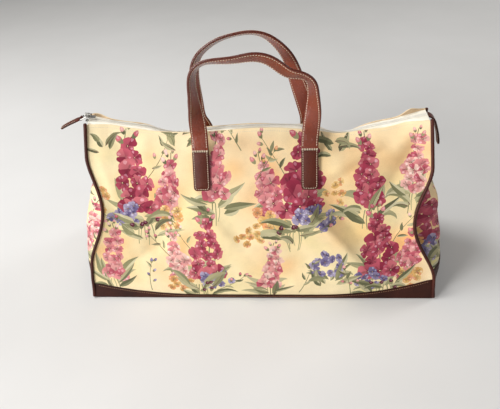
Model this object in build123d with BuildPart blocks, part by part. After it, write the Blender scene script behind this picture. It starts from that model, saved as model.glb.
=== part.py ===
from build123d import *
import os
from math import atan2, cos, radians, sin, tan

os.makedirs("parts", exist_ok=True)

# Bag body in millimetres: X runs along the bag, the front faces -Y, Z rises from the floor
base_length = 550.0
base_depth = 220.0
zip_length = 500.0
zip_height = 273.0  # zip line above the floor at its left end
zip_right_drop = 5.0  # the right end stands lower
zip_dip_drop = 20.0  # sag of the zip line beside the handles
zip_middle_drop = 13.0
zip_end_width = 26.0  # top of the bag across the zip at its ends
zip_dip_width = 18.0
zip_middle_width = 26.0
zip_dip_share = 0.44  # place of the dips along half the zip
zip_curve_share = 0.35  # part of the outer stretch that curves, the rest is straight
belly_depth = 12.0  # swell of the front and back past a flat panel
canvas = 2.0  # printed canvas with its lining
leather = 2.5
seam_gap = 0.4  # clearance between pieces sewn edge to edge

# The corner seams buckle inwards near half height
left_dent_height = 143.0
left_dent_depth = 22.0
right_dent_height = 119.0
right_dent_depth = 28.0
dent_reach = 85.0

# Levels of the sewn walls: share of zip_height, gusset middle as a share of half base_length
level_shares = [
    (0.00, 1.028),
    (0.09, 1.070),
    (0.20, 1.072),
    (0.32, 1.062),
    (0.43, 1.040),
    (0.54, 1.004),
    (0.65, 0.948),
    (0.75, 0.900),
    (0.86, 0.866),
    (0.98, 0.858),
]
gusset_shares = [-1.0, -0.86, -0.6, 0.0, 0.6, 0.86, 1.0]  # points from the front seam to the back one
swell_power = 3.6  # the swollen part of an end is full and round
sink_power = 1.6  # its sunk top is a soft valley
wall_top_share = 1.06  # the front and back walls are drawn past the zip line, then trimmed to it
wall_points = 15  # points along each level of a wall

# Leather base: strips that rise from the middle to the corners, higher at the ends of the bag
trim_middle_height = 5.5
trim_corner_height = 29.0
trim_end_height = 42.0
gusset_top_gap = 11.0  # the ends of the bag stop this far under the zip line, clear of the slider
trim_flat_share = 0.34  # middle stretch of the strip that stays low
stiffener_inset = 7.0
stiffener_thickness = 2.5
stiffener_corner = 12.0

# Piping on the corner seams
piping_width = 5.0
piping_offset_x = 1.7
piping_offset_y = 3.0
cord_sides = 8  # flats around the piping and the zip coils

# Zip tapes and coils
tape_recess = 1.2  # tapes lie this far under the edge of the canvas
tape_thickness = 1.0
tape_split = 1.5  # slit between the two tapes
coil_width = 3.0
coil_split = 1.4
coil_lift = 0.1
tape_stations = 21

# Zip slider, its bail, ring and pull
slider_length = 15.0
slider_width = 9.0
slider_plate = 1.4
slider_clearance = 0.6
slider_post = 0.8
slider_post_length = 4.0
slider_corner = 2.0
slider_overhang = 6.0  # the closed slider stands this far past the tape end
bail_length = 8.0
bail_height = 4.6
bail_width = 2.4
bail_bar = 1.3
ring_length = 15.0
ring_width = 13.6
ring_wire = 1.8
ring_corner = 3.0
pull_droop_deg = 24.0
pull_length = 36.0
pull_width = 13.0
pull_thickness = 2.6
pull_eye_width = 9.0
pull_eye_wall = 1.2
pull_eye_play = 0.3
pull_corner = 3.0

# Tab folded out of the far zip end
end_tab_width = 14.0
end_tab_thickness = 2.6
end_tab_reach = 22.0
end_tab_drop = 48.0
end_tab_shares = [(0.0, 0.0), (0.30, 0.07), (0.62, 0.34), (0.85, 0.66), (1.0, 1.0)]

# Strap handles, flat on the panels at the stitch line and turned on edge at the top
handle_spacing = 161.0
stitch_height = 232.0
strap_end_drop = 55.0  # the sewn ends reach this far below the stitch line
strap_width = 25.0
strap_thickness = 4.0
strap_end_corner = 5.0
strap_seat = 1.2  # strap ends lie this far off the panel's chord, which is slightly swollen
strap_joint_gap = 0.3
handle_rise = 138.0
leg_lean_share = 0.85  # above the stitch line the straps stand off the panels a little
front_loop_y = 23.0
back_loop_y = 25.0

# Loops from left to right: share of half handle_spacing, share of handle_rise above the stitch line,
# and how far the strap has turned from lying flat, in degrees
front_loop_shares = [
    (-1.0, 0.0, 0),
    (-1.0, 0.085, 0),
    (-1.005, 0.17, -4),
    (-1.015, 0.3, -26),
    (-1.025, 0.44, -52),
    (-1.03, 0.58, -69),
    (-1.03, 0.7, -76),
    (-1.01, 0.8, -77),
    (-0.94, 0.885, -75),
    (-0.8, 0.94, -72),
    (-0.57, 0.958, -69),
    (-0.25, 0.966, -67),
    (0.06, 0.985, -66),
    (0.29, 0.955, -62),
    (0.48, 0.88, -57),
    (0.66, 0.81, -53),
    (0.86, 0.785, -55),
    (0.99, 0.735, -57),
    (1.05, 0.62, -56),
    (1.06, 0.52, -48),
    (1.055, 0.4, -31),
    (1.035, 0.27, -13),
    (1.015, 0.17, -4),
    (1.0, 0.085, 0),
    (1.0, 0.0, 0),
]
back_loop_shares = [
    (-1.0, 0.0, 0),
    (-1.01, 0.085, 0),
    (-1.04, 0.17, -2),
    (-1.07, 0.3, -12),
    (-1.08, 0.44, -36),
    (-1.08, 0.58, -58),
    (-1.07, 0.7, -68),
    (-1.03, 0.81, -70),
    (-0.95, 0.89, -69),
    (-0.81, 0.965, -68),
    (-0.55, 1.05, -68),
    (-0.27, 1.092, -68),
    (0.0, 1.105, -66),
    (0.25, 1.065, -60),
    (0.45, 0.975, -51),
    (0.58, 0.885, -45),
    (0.675, 0.78, -38),
    (0.745, 0.66, -29),
    (0.81, 0.54, -18),
    (0.88, 0.41, -8),
    (0.945, 0.28, -2),
    (0.99, 0.17, 0),
    (1.0, 0.085, 0),
    (1.0, 0.0, 0),
]


def along_zip(x, middle, dip, end):
    """Value at x of something that goes from the middle through the dips to the zip ends."""
    share = abs(x) / (zip_length / 2)
    if share < zip_dip_share:
        part = share / zip_dip_share
        return middle + (dip - middle) * part * part * (3 - 2 * part)
    part = (share - zip_dip_share) / (1 - zip_dip_share)
    slope = 1 / (1 - zip_curve_share / 2)
    if part < zip_curve_share:
        return dip + (end - dip) * slope * part * part / (2 * zip_curve_share)
    return dip + (end - dip) * slope * (part - zip_curve_share / 2)


def zip_line(x):
    """Height of the canvas edge beside the zip."""
    end = zip_height - zip_right_drop if x > 0 else zip_height
    return along_zip(x, zip_height - zip_middle_drop, zip_height - zip_dip_drop, end)


def wall_depth(x, z):
    """Distance of the front or back wall's outer face from the middle of the bag."""
    rise = z / zip_height
    top = along_zip(x, zip_middle_width, zip_dip_width, zip_end_width) / 2
    belly = belly_depth * max(0, 1 - (2 * x / base_length) ** 2)
    return base_depth / 2 * (1 - rise) + top * rise + 4 * belly * rise * (1 - rise)


def seam_x(side, z):
    """Place of the corner seam along the bag, for side -1 (left) or 1 (right)."""
    dent_height, dent_depth = left_dent_height, left_dent_depth
    if side > 0:
        dent_height, dent_depth = right_dent_height, right_dent_depth
    straight = base_length / 2 - (base_length - zip_length) / 2 * z / zip_height
    reach = min(1, abs(z - dent_height) / dent_reach)
    return side * (straight - dent_depth * (1 - reach * reach) ** 2)


def level_height(share):
    """Height of a wall level, counted from the top of the leather bottom."""
    return leather + share * (zip_height - leather)


def front_points(z):
    """Outer face of the front wall at one height, from the left seam to the right one."""
    left, right = seam_x(-1, z), seam_x(1, z)
    steps = [left + (right - left) * step / (wall_points - 1) for step in range(wall_points)]
    return [(x, -wall_depth(x, z)) for x in steps]


def gusset_points(side, z, middle_share):
    """Outer face of an end wall at one height, from front to back."""
    edge_x = seam_x(side, z)
    edge_y = wall_depth(edge_x, z) - leather - seam_gap
    swell = side * base_length / 2 * middle_share - edge_x
    power = swell_power if swell * side > 0 else sink_power
    return [(edge_x + swell * (1 - abs(share) ** power), edge_y * share) for share in gusset_shares]


def wall_section(z, outer, inner):
    """Closed strip between the outer and inner face of a wall at one height."""
    with BuildSketch(Plane.XY.offset(z)) as strip:
        with BuildLine():
            Spline(*outer)
            Line(outer[-1], inner[-1])
            Spline(*inner)
            Line(inner[0], outer[0])
        make_face()
    return strip.sketch


def front_wall(thickness):
    """Front wall as one curved sheet, from the leather bottom to above the zip line."""
    sections = []
    for share in [row[0] for row in level_shares] + [wall_top_share]:
        outer = front_points(level_height(share))
        inner = [(x, y + thickness) for x, y in outer]
        sections.append(wall_section(level_height(share), outer, inner))
    with BuildPart() as wall:
        loft(sections)
    return wall.part


def gusset_middle(z):
    """Middle of an end wall at one height, as a share of half base_length."""
    rows = [(level_height(share), middle) for share, middle in level_shares]
    for (low, low_middle), (high, high_middle) in zip(rows, rows[1:]):
        if z <= high:
            return low_middle + (high_middle - low_middle) * (z - low) / (high - low)
    return rows[-1][1]


def gusset_wall(side, thickness, bottom, top):
    """End wall as one curved sheet, swelling out low down and sunk in at the top."""
    levels = [level_height(row[0]) for row in level_shares]
    sections = []
    for z in [bottom] + [level for level in levels if bottom < level < top] + [top]:
        outer = gusset_points(side, z, gusset_middle(z))
        inner = [(x - side * thickness, y) for x, y in outer]
        sections.append(wall_section(z, outer, inner))
    with BuildPart() as wall:
        loft(sections)
    return wall.part


def swoop_line(x):
    """Upper edge of the leather strip along the front and back."""
    share = max(0, 2 * abs(x) / base_length - trim_flat_share) / (1 - trim_flat_share)
    return trim_middle_height + (trim_corner_height - trim_middle_height) * share * share


half_span = base_length / 2
span_steps = [half_span * (2 * step / (2 * wall_points - 2) - 1) for step in range(2 * wall_points - 1)]
swoop_points = [(x, swoop_line(x)) for x in span_steps]
zip_points = [(x, zip_line(x)) for x in span_steps]

# Printed canvas front and back, between the leather strip and the zip
with BuildPart() as front_panel:
    add(front_wall(canvas))
    with BuildSketch(Plane.XZ):
        with BuildLine():
            Spline(*swoop_points)
            Line(swoop_points[-1], zip_points[-1])
            Spline(*zip_points)
            Line(zip_points[0], swoop_points[0])
        make_face()
    extrude(amount=base_depth, mode=Mode.INTERSECT)

with BuildPart() as back_panel:
    mirror(front_panel.part, about=Plane.XZ)

# Leather strips under them
with BuildPart() as front_base_trim:
    add(front_wall(leather))
    with BuildSketch(Plane.XZ):
        with BuildLine():
            Spline(*swoop_points)
            Polyline(swoop_points[-1], (half_span, 0), (-half_span, 0), swoop_points[0])
        make_face()
    extrude(amount=base_depth, mode=Mode.INTERSECT)

with BuildPart() as back_base_trim:
    mirror(front_base_trim.part, about=Plane.XZ)

# Ends of the bag: canvas above, leather below
left_gusset_top = zip_line(-zip_length / 2) - gusset_top_gap
right_gusset_top = zip_line(zip_length / 2) - gusset_top_gap

with BuildPart() as left_gusset:
    add(gusset_wall(-1, canvas, trim_end_height, left_gusset_top))

with BuildPart() as right_gusset:
    add(gusset_wall(1, canvas, trim_end_height, right_gusset_top))

with BuildPart() as left_base_trim:
    add(gusset_wall(-1, leather, leather, trim_end_height))

with BuildPart() as right_base_trim:
    add(gusset_wall(1, leather, leather, trim_end_height))

# Leather bottom under the walls, and the board that keeps it flat
base_front = front_points(leather)
base_back = [(x, -y) for x, y in base_front]
base_left = gusset_points(-1, leather, level_shares[0][1])
base_right = gusset_points(1, leather, level_shares[0][1])

with BuildPart() as base_panel:
    with BuildSketch():
        with BuildLine():
            Spline(*base_front)
            Line(base_front[-1], base_right[0])
            Spline(*base_right)
            Line(base_right[-1], base_back[-1])
            Spline(*base_back)
            Line(base_back[0], base_left[-1])
            Spline(*base_left)
            Line(base_left[0], base_front[0])
        make_face()
    extrude(amount=leather)

with BuildPart() as base_stiffener:
    with BuildSketch(Plane.XY.offset(leather)):
        RectangleRounded(
            base_length - 2 * stiffener_inset, base_depth - 2 * stiffener_inset, stiffener_corner
        )
    extrude(amount=stiffener_thickness)


def piping(side, face):
    """Cord outside one corner seam, for face -1 (front) or 1 (back)."""
    levels = [level_height(row[0]) for row in level_shares[:-1]] + [zip_line(side * zip_length / 2)]
    with BuildPart() as cord:
        for z in levels:
            x = seam_x(side, z)
            y = face * (wall_depth(x, z) + piping_offset_y)
            with BuildSketch(Plane.XY.offset(z)):
                with Locations((x + side * piping_offset_x, y)):
                    RegularPolygon(piping_width / 2, cord_sides)
        loft()
    return cord.part


with BuildPart() as front_left_piping:
    add(piping(-1, -1))

with BuildPart() as front_right_piping:
    add(piping(1, -1))

with BuildPart() as back_left_piping:
    add(piping(-1, 1))

with BuildPart() as back_right_piping:
    add(piping(1, 1))

# Zip tapes and coils, run through stations along the bag
tape_reach = zip_length / 2 - seam_gap
station_xs = [tape_reach * (2 * step / (tape_stations - 1) - 1) for step in range(tape_stations)]

with BuildPart() as front_zip_tape:
    for x in station_xs:
        tape_z = zip_line(x) - tape_recess
        tape_edge = wall_depth(x, tape_z) - canvas - seam_gap
        with BuildSketch(Plane.YZ.offset(x)):
            with Locations((-(tape_edge + tape_split / 2) / 2, tape_z)):
                Rectangle(tape_edge - tape_split / 2, tape_thickness)
    loft()

with BuildPart() as back_zip_tape:
    mirror(front_zip_tape.part, about=Plane.XZ)

coil_centre = tape_thickness / 2 + coil_lift + coil_width / 2

with BuildPart() as front_zip_coil:
    for x in station_xs:
        with BuildSketch(Plane.YZ.offset(x)):
            with Locations((-(coil_split + coil_width) / 2, zip_line(x) - tape_recess + coil_centre)):
                RegularPolygon(coil_width / 2, cord_sides)
    loft()

with BuildPart() as back_zip_coil:
    mirror(front_zip_coil.part, about=Plane.XZ)

# Zip slider on the straight left stretch of the zip, its plates above and below the tapes
slider_x = -tape_reach - slider_overhang + slider_length / 2
zip_slope = atan2(zip_line(slider_x) - zip_line(-tape_reach), slider_x + tape_reach)
slider_run = Vector(cos(zip_slope), 0, sin(zip_slope))
slider_up = Vector(-sin(zip_slope), 0, cos(zip_slope))
slider_origin = Vector(slider_x, 0, zip_line(slider_x) - tape_recess)
slider_plane = Plane(origin=slider_origin, x_dir=slider_run, z_dir=slider_up)
slider_side = Plane(origin=slider_origin, x_dir=slider_run, z_dir=(0, -1, 0))
under_face = tape_thickness / 2 + slider_clearance
over_face = coil_centre + coil_width / 2 + slider_clearance
bail_top = over_face + slider_plate + bail_height
bail_start = -slider_length / 2
hinge_run = bail_start + bail_length / 2
hinge_lift = bail_top - bail_bar - pull_eye_play - ring_wire / 2

with BuildPart() as zip_slider:
    with BuildSketch(slider_plane.offset(over_face)):
        RectangleRounded(slider_length, slider_width, slider_corner)
    extrude(amount=slider_plate)
    with BuildSketch(slider_plane.offset(-under_face - slider_plate)):
        RectangleRounded(slider_length, slider_width, slider_corner)
    extrude(amount=slider_plate)
    with BuildSketch(slider_plane.offset(-under_face)):
        with Locations((bail_start + slider_post_length, 0)):
            Rectangle(slider_post_length, slider_post)
    extrude(amount=under_face + over_face)
    with BuildSketch(slider_side):
        with Locations((hinge_run, over_face + slider_plate)):
            Rectangle(bail_length, bail_height, align=(Align.CENTER, Align.MIN))
            Rectangle(
                bail_length - 2 * bail_bar,
                bail_height - bail_bar,
                align=(Align.CENTER, Align.MIN),
                mode=Mode.SUBTRACT,
            )
    extrude(amount=bail_width / 2, both=True)

# Ring through the bail, drooping off the end of the bag, and the leather pull on it
droop = radians(pull_droop_deg)
pull_run = Vector(-cos(droop), 0, -sin(droop))
pull_up = Vector(-sin(droop), 0, cos(droop))
hinge_point = slider_origin + slider_run * hinge_run + slider_up * hinge_lift
ring_inner_length = ring_length - 2 * ring_wire
ring_inner_width = ring_width - 2 * ring_wire
ring_centre = hinge_point + pull_run * ((ring_length - ring_wire) / 2)
eye_centre = hinge_point + pull_run * (ring_length - ring_wire)

with BuildPart() as zip_pull_ring:
    with BuildSketch(Plane(origin=ring_centre, x_dir=pull_run, z_dir=pull_up)):
        RectangleRounded(ring_length, ring_width, ring_corner)
        RectangleRounded(
            ring_inner_length, ring_inner_width, ring_corner - ring_wire, mode=Mode.SUBTRACT
        )
    extrude(amount=ring_wire / 2, both=True)
    fillet(zip_pull_ring.edges().filter_by(Plane(ring_centre, pull_run, pull_up)), radius=ring_wire / 3)

eye_bore = ring_wire / 2 + pull_eye_play
eye_radius = eye_bore + pull_eye_wall

with BuildPart() as zip_pull_tab:
    with BuildSketch(Plane(origin=eye_centre, x_dir=pull_run, z_dir=(0, 1, 0))):
        Circle(eye_radius)
        with Locations((eye_radius, 0)):
            Rectangle(2 * eye_radius, pull_thickness)
    extrude(amount=pull_eye_width / 2, both=True)
    strap_middle = eye_centre + pull_run * (eye_radius + pull_length / 2)
    with BuildSketch(Plane(origin=strap_middle, x_dir=pull_run, z_dir=pull_up)):
        RectangleRounded(pull_length, pull_width, pull_corner)
    extrude(amount=pull_thickness / 2, both=True)
    with BuildSketch(Plane(origin=eye_centre, x_dir=pull_run, z_dir=(0, 1, 0))):
        Circle(eye_bore)
    extrude(amount=pull_width, both=True, mode=Mode.SUBTRACT)

# Tab that leaves the right zip end and hangs over the end of the bag
end_tab_x = tape_reach + seam_gap
end_tab_z = zip_line(tape_reach) - tape_recess
end_tab_points = [(end_tab_x + end_tab_reach * x, end_tab_z - end_tab_drop * z) for x, z in end_tab_shares]

with BuildPart() as zip_end_tab:
    with BuildSketch(Plane.XZ):
        with BuildLine():
            Spline(*end_tab_points)
        trace(line_width=end_tab_thickness)
    extrude(amount=end_tab_width / 2, both=True)

# Strap ends sewn flat on the panels
strap_end_bottom = stitch_height - strap_end_drop
stitch_depth = wall_depth(handle_spacing / 2, stitch_height)
low_depth = wall_depth(handle_spacing / 2, strap_end_bottom)
lean = atan2(low_depth - stitch_depth, stitch_height - strap_end_bottom)
strap_end_length = (stitch_height - strap_end_bottom) / cos(lean)
seat_depth = stitch_depth + strap_seat / cos(lean)


def strap_end(side, face):
    """Sewn end of one strap, for side -1 or 1 and face -1 (front) or 1 (back)."""
    seat = Plane(
        origin=(side * handle_spacing / 2, face * seat_depth, stitch_height),
        x_dir=(1, 0, 0),
        z_dir=(0, face * cos(lean), sin(lean)),
    )
    with BuildPart() as sewn:
        with BuildSketch(seat):
            with Locations((0, face * (strap_joint_gap + strap_end_length / 2))):
                Rectangle(strap_width, strap_end_length)
        extrude(amount=strap_thickness)
        corners = [edge for edge in sewn.edges() if abs(edge.tangent_at(0).X) < seam_gap]
        upright = [edge for edge in corners if edge.length < strap_end_length / 2]
        lower = sorted(upright, key=lambda edge: edge.center().Z)[:2]
        fillet(lower, radius=strap_end_corner)
    return sewn.part


with BuildPart() as front_left_strap_end:
    add(strap_end(-1, -1))

with BuildPart() as front_right_strap_end:
    add(strap_end(1, -1))

with BuildPart() as back_left_strap_end:
    add(strap_end(-1, 1))

with BuildPart() as back_right_strap_end:
    add(strap_end(1, 1))

# Strap loops above the stitch lines
strap_depth = seat_depth + strap_thickness / 2 * cos(lean)
stitch_z = stitch_height + strap_thickness / 2 * sin(lean)


def strap_loop(rows, face, loop_y):
    """Flat strap from its left stitch line over the top, its front edge turning outwards on the way."""
    route = []
    for x_share, rise_share, _ in rows:
        rise = rise_share * handle_rise
        depth = max(loop_y, strap_depth - rise * tan(lean) * leg_lean_share)
        route.append(Vector(x_share * handle_spacing / 2, face * depth, stitch_z + rise))
    path = Spline(*route)
    rising = Vector(0, -face * sin(lean), cos(lean))
    sections = []
    for point, (x_share, rise_share, turn_deg) in zip(route, rows):
        forward = path.tangent_at(path.param_at_point(point))
        if rise_share == 0:
            forward = rising * -x_share
        outward = forward.cross(Vector(0, 1, 0)).normalized()
        across = outward.cross(forward).normalized()
        turn = radians(turn_deg)
        width_dir = outward * cos(turn) + across * sin(turn)
        with BuildSketch(Plane(origin=point, x_dir=width_dir, z_dir=forward)) as cut:
            Rectangle(strap_width, strap_thickness)
        sections.append(cut.sketch)
    with BuildPart() as loop:
        loft(sections)
    return loop.part


with BuildPart() as front_handle:
    add(strap_loop(front_loop_shares, -1, front_loop_y))

with BuildPart() as back_handle:
    add(strap_loop(back_loop_shares, 1, back_loop_y))

front_panel.part.label = "front_panel"
export_step(front_panel.part, "parts/front_panel.step")
back_panel.part.label = "back_panel"
export_step(back_panel.part, "parts/back_panel.step")
front_base_trim.part.label = "front_base_trim"
export_step(front_base_trim.part, "parts/front_base_trim.step")
back_base_trim.part.label = "back_base_trim"
export_step(back_base_trim.part, "parts/back_base_trim.step")
left_gusset.part.label = "left_gusset"
export_step(left_gusset.part, "parts/left_gusset.step")
right_gusset.part.label = "right_gusset"
export_step(right_gusset.part, "parts/right_gusset.step")
left_base_trim.part.label = "left_base_trim"
export_step(left_base_trim.part, "parts/left_base_trim.step")
right_base_trim.part.label = "right_base_trim"
export_step(right_base_trim.part, "parts/right_base_trim.step")
base_panel.part.label = "base_panel"
export_step(base_panel.part, "parts/base_panel.step")
base_stiffener.part.label = "base_stiffener"
export_step(base_stiffener.part, "parts/base_stiffener.step")
front_left_piping.part.label = "front_left_piping"
export_step(front_left_piping.part, "parts/front_left_piping.step")
front_right_piping.part.label = "front_right_piping"
export_step(front_right_piping.part, "parts/front_right_piping.step")
back_left_piping.part.label = "back_left_piping"
export_step(back_left_piping.part, "parts/back_left_piping.step")
back_right_piping.part.label = "back_right_piping"
export_step(back_right_piping.part, "parts/back_right_piping.step")
front_zip_tape.part.label = "front_zip_tape"
export_step(front_zip_tape.part, "parts/front_zip_tape.step")
back_zip_tape.part.label = "back_zip_tape"
export_step(back_zip_tape.part, "parts/back_zip_tape.step")
front_zip_coil.part.label = "front_zip_coil"
export_step(front_zip_coil.part, "parts/front_zip_coil.step")
back_zip_coil.part.label = "back_zip_coil"
export_step(back_zip_coil.part, "parts/back_zip_coil.step")
zip_slider.part.label = "zip_slider"
export_step(zip_slider.part, "parts/zip_slider.step")
zip_pull_ring.part.label = "zip_pull_ring"
export_step(zip_pull_ring.part, "parts/zip_pull_ring.step")
zip_pull_tab.part.label = "zip_pull_tab"
export_step(zip_pull_tab.part, "parts/zip_pull_tab.step")
zip_end_tab.part.label = "zip_end_tab"
export_step(zip_end_tab.part, "parts/zip_end_tab.step")
front_left_strap_end.part.label = "front_left_strap_end"
export_step(front_left_strap_end.part, "parts/front_left_strap_end.step")
front_right_strap_end.part.label = "front_right_strap_end"
export_step(front_right_strap_end.part, "parts/front_right_strap_end.step")
back_left_strap_end.part.label = "back_left_strap_end"
export_step(back_left_strap_end.part, "parts/back_left_strap_end.step")
back_right_strap_end.part.label = "back_right_strap_end"
export_step(back_right_strap_end.part, "parts/back_right_strap_end.step")
front_handle.part.label = "front_handle"
export_step(front_handle.part, "parts/front_handle.step")
back_handle.part.label = "back_handle"
export_step(back_handle.part, "parts/back_handle.step")
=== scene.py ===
import bpy
import bmesh
import math
import random
from bisect import bisect_right
from mathutils import Matrix, Vector, noise
from mathutils.geometry import delaunay_2d_cdt


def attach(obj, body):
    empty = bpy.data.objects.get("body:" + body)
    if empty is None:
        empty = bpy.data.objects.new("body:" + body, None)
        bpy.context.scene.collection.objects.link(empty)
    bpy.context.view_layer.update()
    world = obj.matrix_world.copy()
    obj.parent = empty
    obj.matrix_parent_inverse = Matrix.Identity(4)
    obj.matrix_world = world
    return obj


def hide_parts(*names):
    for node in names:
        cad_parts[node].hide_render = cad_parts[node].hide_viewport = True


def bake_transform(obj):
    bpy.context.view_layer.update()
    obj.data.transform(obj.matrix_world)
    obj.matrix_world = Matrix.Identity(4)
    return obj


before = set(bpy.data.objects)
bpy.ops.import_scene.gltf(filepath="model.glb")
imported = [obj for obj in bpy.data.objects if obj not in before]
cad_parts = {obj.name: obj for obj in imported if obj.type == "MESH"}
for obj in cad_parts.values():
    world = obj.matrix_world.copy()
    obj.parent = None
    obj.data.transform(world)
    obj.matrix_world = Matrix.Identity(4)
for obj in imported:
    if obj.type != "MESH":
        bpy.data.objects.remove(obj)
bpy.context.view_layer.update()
bpy.ops.object.select_all(action="DESELECT")

MM = 0.001
TAU = 2 * math.pi

# Shape of the bag in millimetres, as in the solids
BASE_LENGTH, BASE_DEPTH = 550.0, 220.0
ZIP_END, ZIP_HEIGHT, ZIP_RIGHT_DROP = 250.0, 273.0, 5.0
# Share of its half where the zip line dips, the share past that, and how far the dip is rounded
DIP_AT, PAST_DIP, DIP_ROUND = 0.44, 0.56, 0.35
# Length of cloth for each millimetre of height, because the walls lean
SLANT = 1.075
LEATHER = 2.5
DENTS = {-1: (143.0, 22.0), 1: (119.0, 28.0)}
DENT_REACH = 85.0
LEVELS = [
    (0.00, 1.028), (0.09, 1.070), (0.20, 1.072), (0.32, 1.062), (0.43, 1.040),
    (0.54, 1.004), (0.65, 0.948), (0.75, 0.900), (0.86, 0.866), (0.98, 0.858),
]
TRIM_END, CORNER_HEIGHT = 42.0, 26
END_INSET = 2.9
TAPE_REACH = 249.6
SPACING, STITCH_HEIGHT, END_BOTTOM = 161.0, 232.0, 177.0
STRAP_WIDTH, STRAP_THICK = 25.0, 4.0
HANDLE_RISE, LEG_LEAN = 138.0, 0.85
WALL_NAME, END_NAME = {-1: "front", 1: "back"}, {-1: "left", 1: "right"}


def spread(low, high, count):
    """Even places from low to high, both included."""
    return [low + (high - low) * k / count for k in range(count + 1)]


def along_zip(x, middle, dip, end):
    """Value at x of something that goes from the middle through the dips to the zip ends."""
    share = abs(x) / ZIP_END
    if share < DIP_AT:
        part = share / DIP_AT
        return middle + (dip - middle) * part * part * (3 - 2 * part)
    part = (share - DIP_AT) / PAST_DIP
    slope = 1 / (1 - DIP_ROUND / 2)
    if part < DIP_ROUND:
        return dip + (end - dip) * slope * part * part / (2 * DIP_ROUND)
    return dip + (end - dip) * slope * (part - DIP_ROUND / 2)


def zip_line(x):
    """Height of the canvas edge beside the zip."""
    end = ZIP_HEIGHT - ZIP_RIGHT_DROP if x > 0 else ZIP_HEIGHT
    return along_zip(x, ZIP_HEIGHT - 13, ZIP_HEIGHT - 20, end)


def rim(face, x):
    """Height of one canvas edge beside the zip: it goes its own way in the dips and at the ends."""
    return zip_line(x) + (FRONT_RIM(x) if face < 0 else BACK_RIM(x))


def pinch(x, drop):
    """How far each edge draws in towards the other; drop is the distance below it."""
    draw = max(0.0, wall_depth(x, zip_line(x)) - HALF_BAND) * (1 - step(215, 248, abs(x)))
    return draw * bell(drop, PINCH_REACH)


def wall_depth(x, z):
    """Distance of the front or back wall from the middle of the bag."""
    rise = z / ZIP_HEIGHT
    top = along_zip(x, 26, 18, 26) / 2
    belly = 12 * max(0, 1 - (2 * x / BASE_LENGTH) ** 2)
    return BASE_DEPTH / 2 * (1 - rise) + top * rise + 4 * belly * rise * (1 - rise)


def seam_x(side, z):
    """Place of a corner seam along the bag."""
    height, depth = DENTS[side]
    reach = min(1, abs(z - height) / DENT_REACH)
    return side * (BASE_LENGTH / 2 - 25 * z / ZIP_HEIGHT - depth * (1 - reach * reach) ** 2)


def swoop_line(x):
    """Upper edge of the leather strip along the front and back."""
    share = max(0, 2 * abs(x) / BASE_LENGTH - 0.34) / 0.66
    return 5.5 + (23.5 + 4 * x / (BASE_LENGTH / 2)) * share * share


def smooth_rows(knots, values):
    """Natural cubic curve through values at knots, as a function."""
    n = len(knots)
    gaps = [knots[i + 1] - knots[i] for i in range(n - 1)]
    diag, upper, right = [1.0] * n, [0.0] * n, [0.0] * n
    for i in range(1, n - 1):
        low, high = gaps[i - 1], gaps[i]
        diag[i], upper[i] = 2 * (low + high), high
        right[i] = 6 * ((values[i + 1] - values[i]) / high - (values[i] - values[i - 1]) / low)
        share = low / diag[i - 1]
        diag[i] -= share * upper[i - 1]
        right[i] -= share * right[i - 1]
    bend = [0.0] * n
    for i in range(n - 2, 0, -1):
        bend[i] = (right[i] - upper[i] * bend[i + 1]) / diag[i]

    def value(at):
        i = 0
        while i < n - 2 and at > knots[i + 1]:
            i += 1
        h = gaps[i]
        a, b = (knots[i + 1] - at) / h, (at - knots[i]) / h
        return a * values[i] + b * values[i + 1] + ((a ** 3 - a) * bend[i] + (b ** 3 - b) * bend[i + 1]) * h * h / 6

    return value


def curve(*rows):
    """Smooth curve through rows of place and value."""
    return smooth_rows(*zip(*rows))


# Sag of the slack top: of the front edge, the back edge and the zip between them
HALF_BAND, PINCH_REACH, LIFT_REACH = 8.0, 20, 26
FRONT_RIM = curve(
    (-250, -3), (-228, -1.5), (-190, -2.4), (-157, -2.6), (-126, -2.2), (-85, -3.6), (0, -5), (80, -4.6), (100, -6.8),
    (122, -9.8), (155, -8.6), (192, -9), (222, -4.5), (250, -3),
)
BACK_RIM = curve(
    (-250, 0.5), (-240, 4.5), (-228, 2.5), (-215, 0.5), (-190, 0), (-165, -0.5), (-142, -7), (-126, -9.5), (-108, -8.5),
    (-88, -4), (-60, -4), (0, -4.8), (60, -4), (85, -3.5), (100, -8.5), (116, -15), (130, -17), (155, -10), (179, -4.5),
    (201, -3), (213, 0), (225, 6.5), (236, 4), (250, 0),
)
ZIP_SAG = curve(
    (-250, 0), (-225, 0), (-200, 0), (-180, 0), (-164, -0.1), (-145, -3), (-126, -6.2), (-108, -5.6), (-85, -3.8),
    (0, -4.9), (85, -4.2), (100, -7.6), (120, -12.6), (135, -13), (155, -9.4), (180, -6.5), (205, -4.5),
    (230, -1.5), (250, -0.6),
)
gusset_middle = curve(*((LEATHER + up * (ZIP_HEIGHT - LEATHER), out) for up, out in LEVELS))


def gusset_x(side, y, z):
    """Outer face of an end wall."""
    edge_x = seam_x(side, z)
    edge_y = wall_depth(edge_x, z) - END_INSET
    swell = side * BASE_LENGTH / 2 * gusset_middle(z) - edge_x
    power = 3.6 if swell * side > 0 else 1.6
    return edge_x + swell * (1 - min(1, abs(y) / edge_y) ** power)


def step(low, high, at):
    """Smooth step from 0 at low to 1 at high."""
    t = max(0.0, min(1.0, (at - low) / (high - low)))
    return t * t * (3 - 2 * t)


def bell(at, reach):
    """Smooth hump that is 1 at 0 and falls away over its reach."""
    return math.exp(-(at / reach) ** 2)


# Hand work with Blender's own tools, on straight blanks in millimetres
def begin(name, kind, **values):
    """New primitive, left in edit mode."""
    bpy.ops.object.select_all(action="DESELECT")
    getattr(bpy.ops.mesh, f"primitive_{kind}_add")(**values)
    obj = bpy.context.object
    obj.name = obj.data.name = name
    bpy.ops.object.transform_apply(location=True, rotation=True, scale=True)
    bpy.ops.object.mode_set(mode="EDIT")
    return obj


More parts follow.
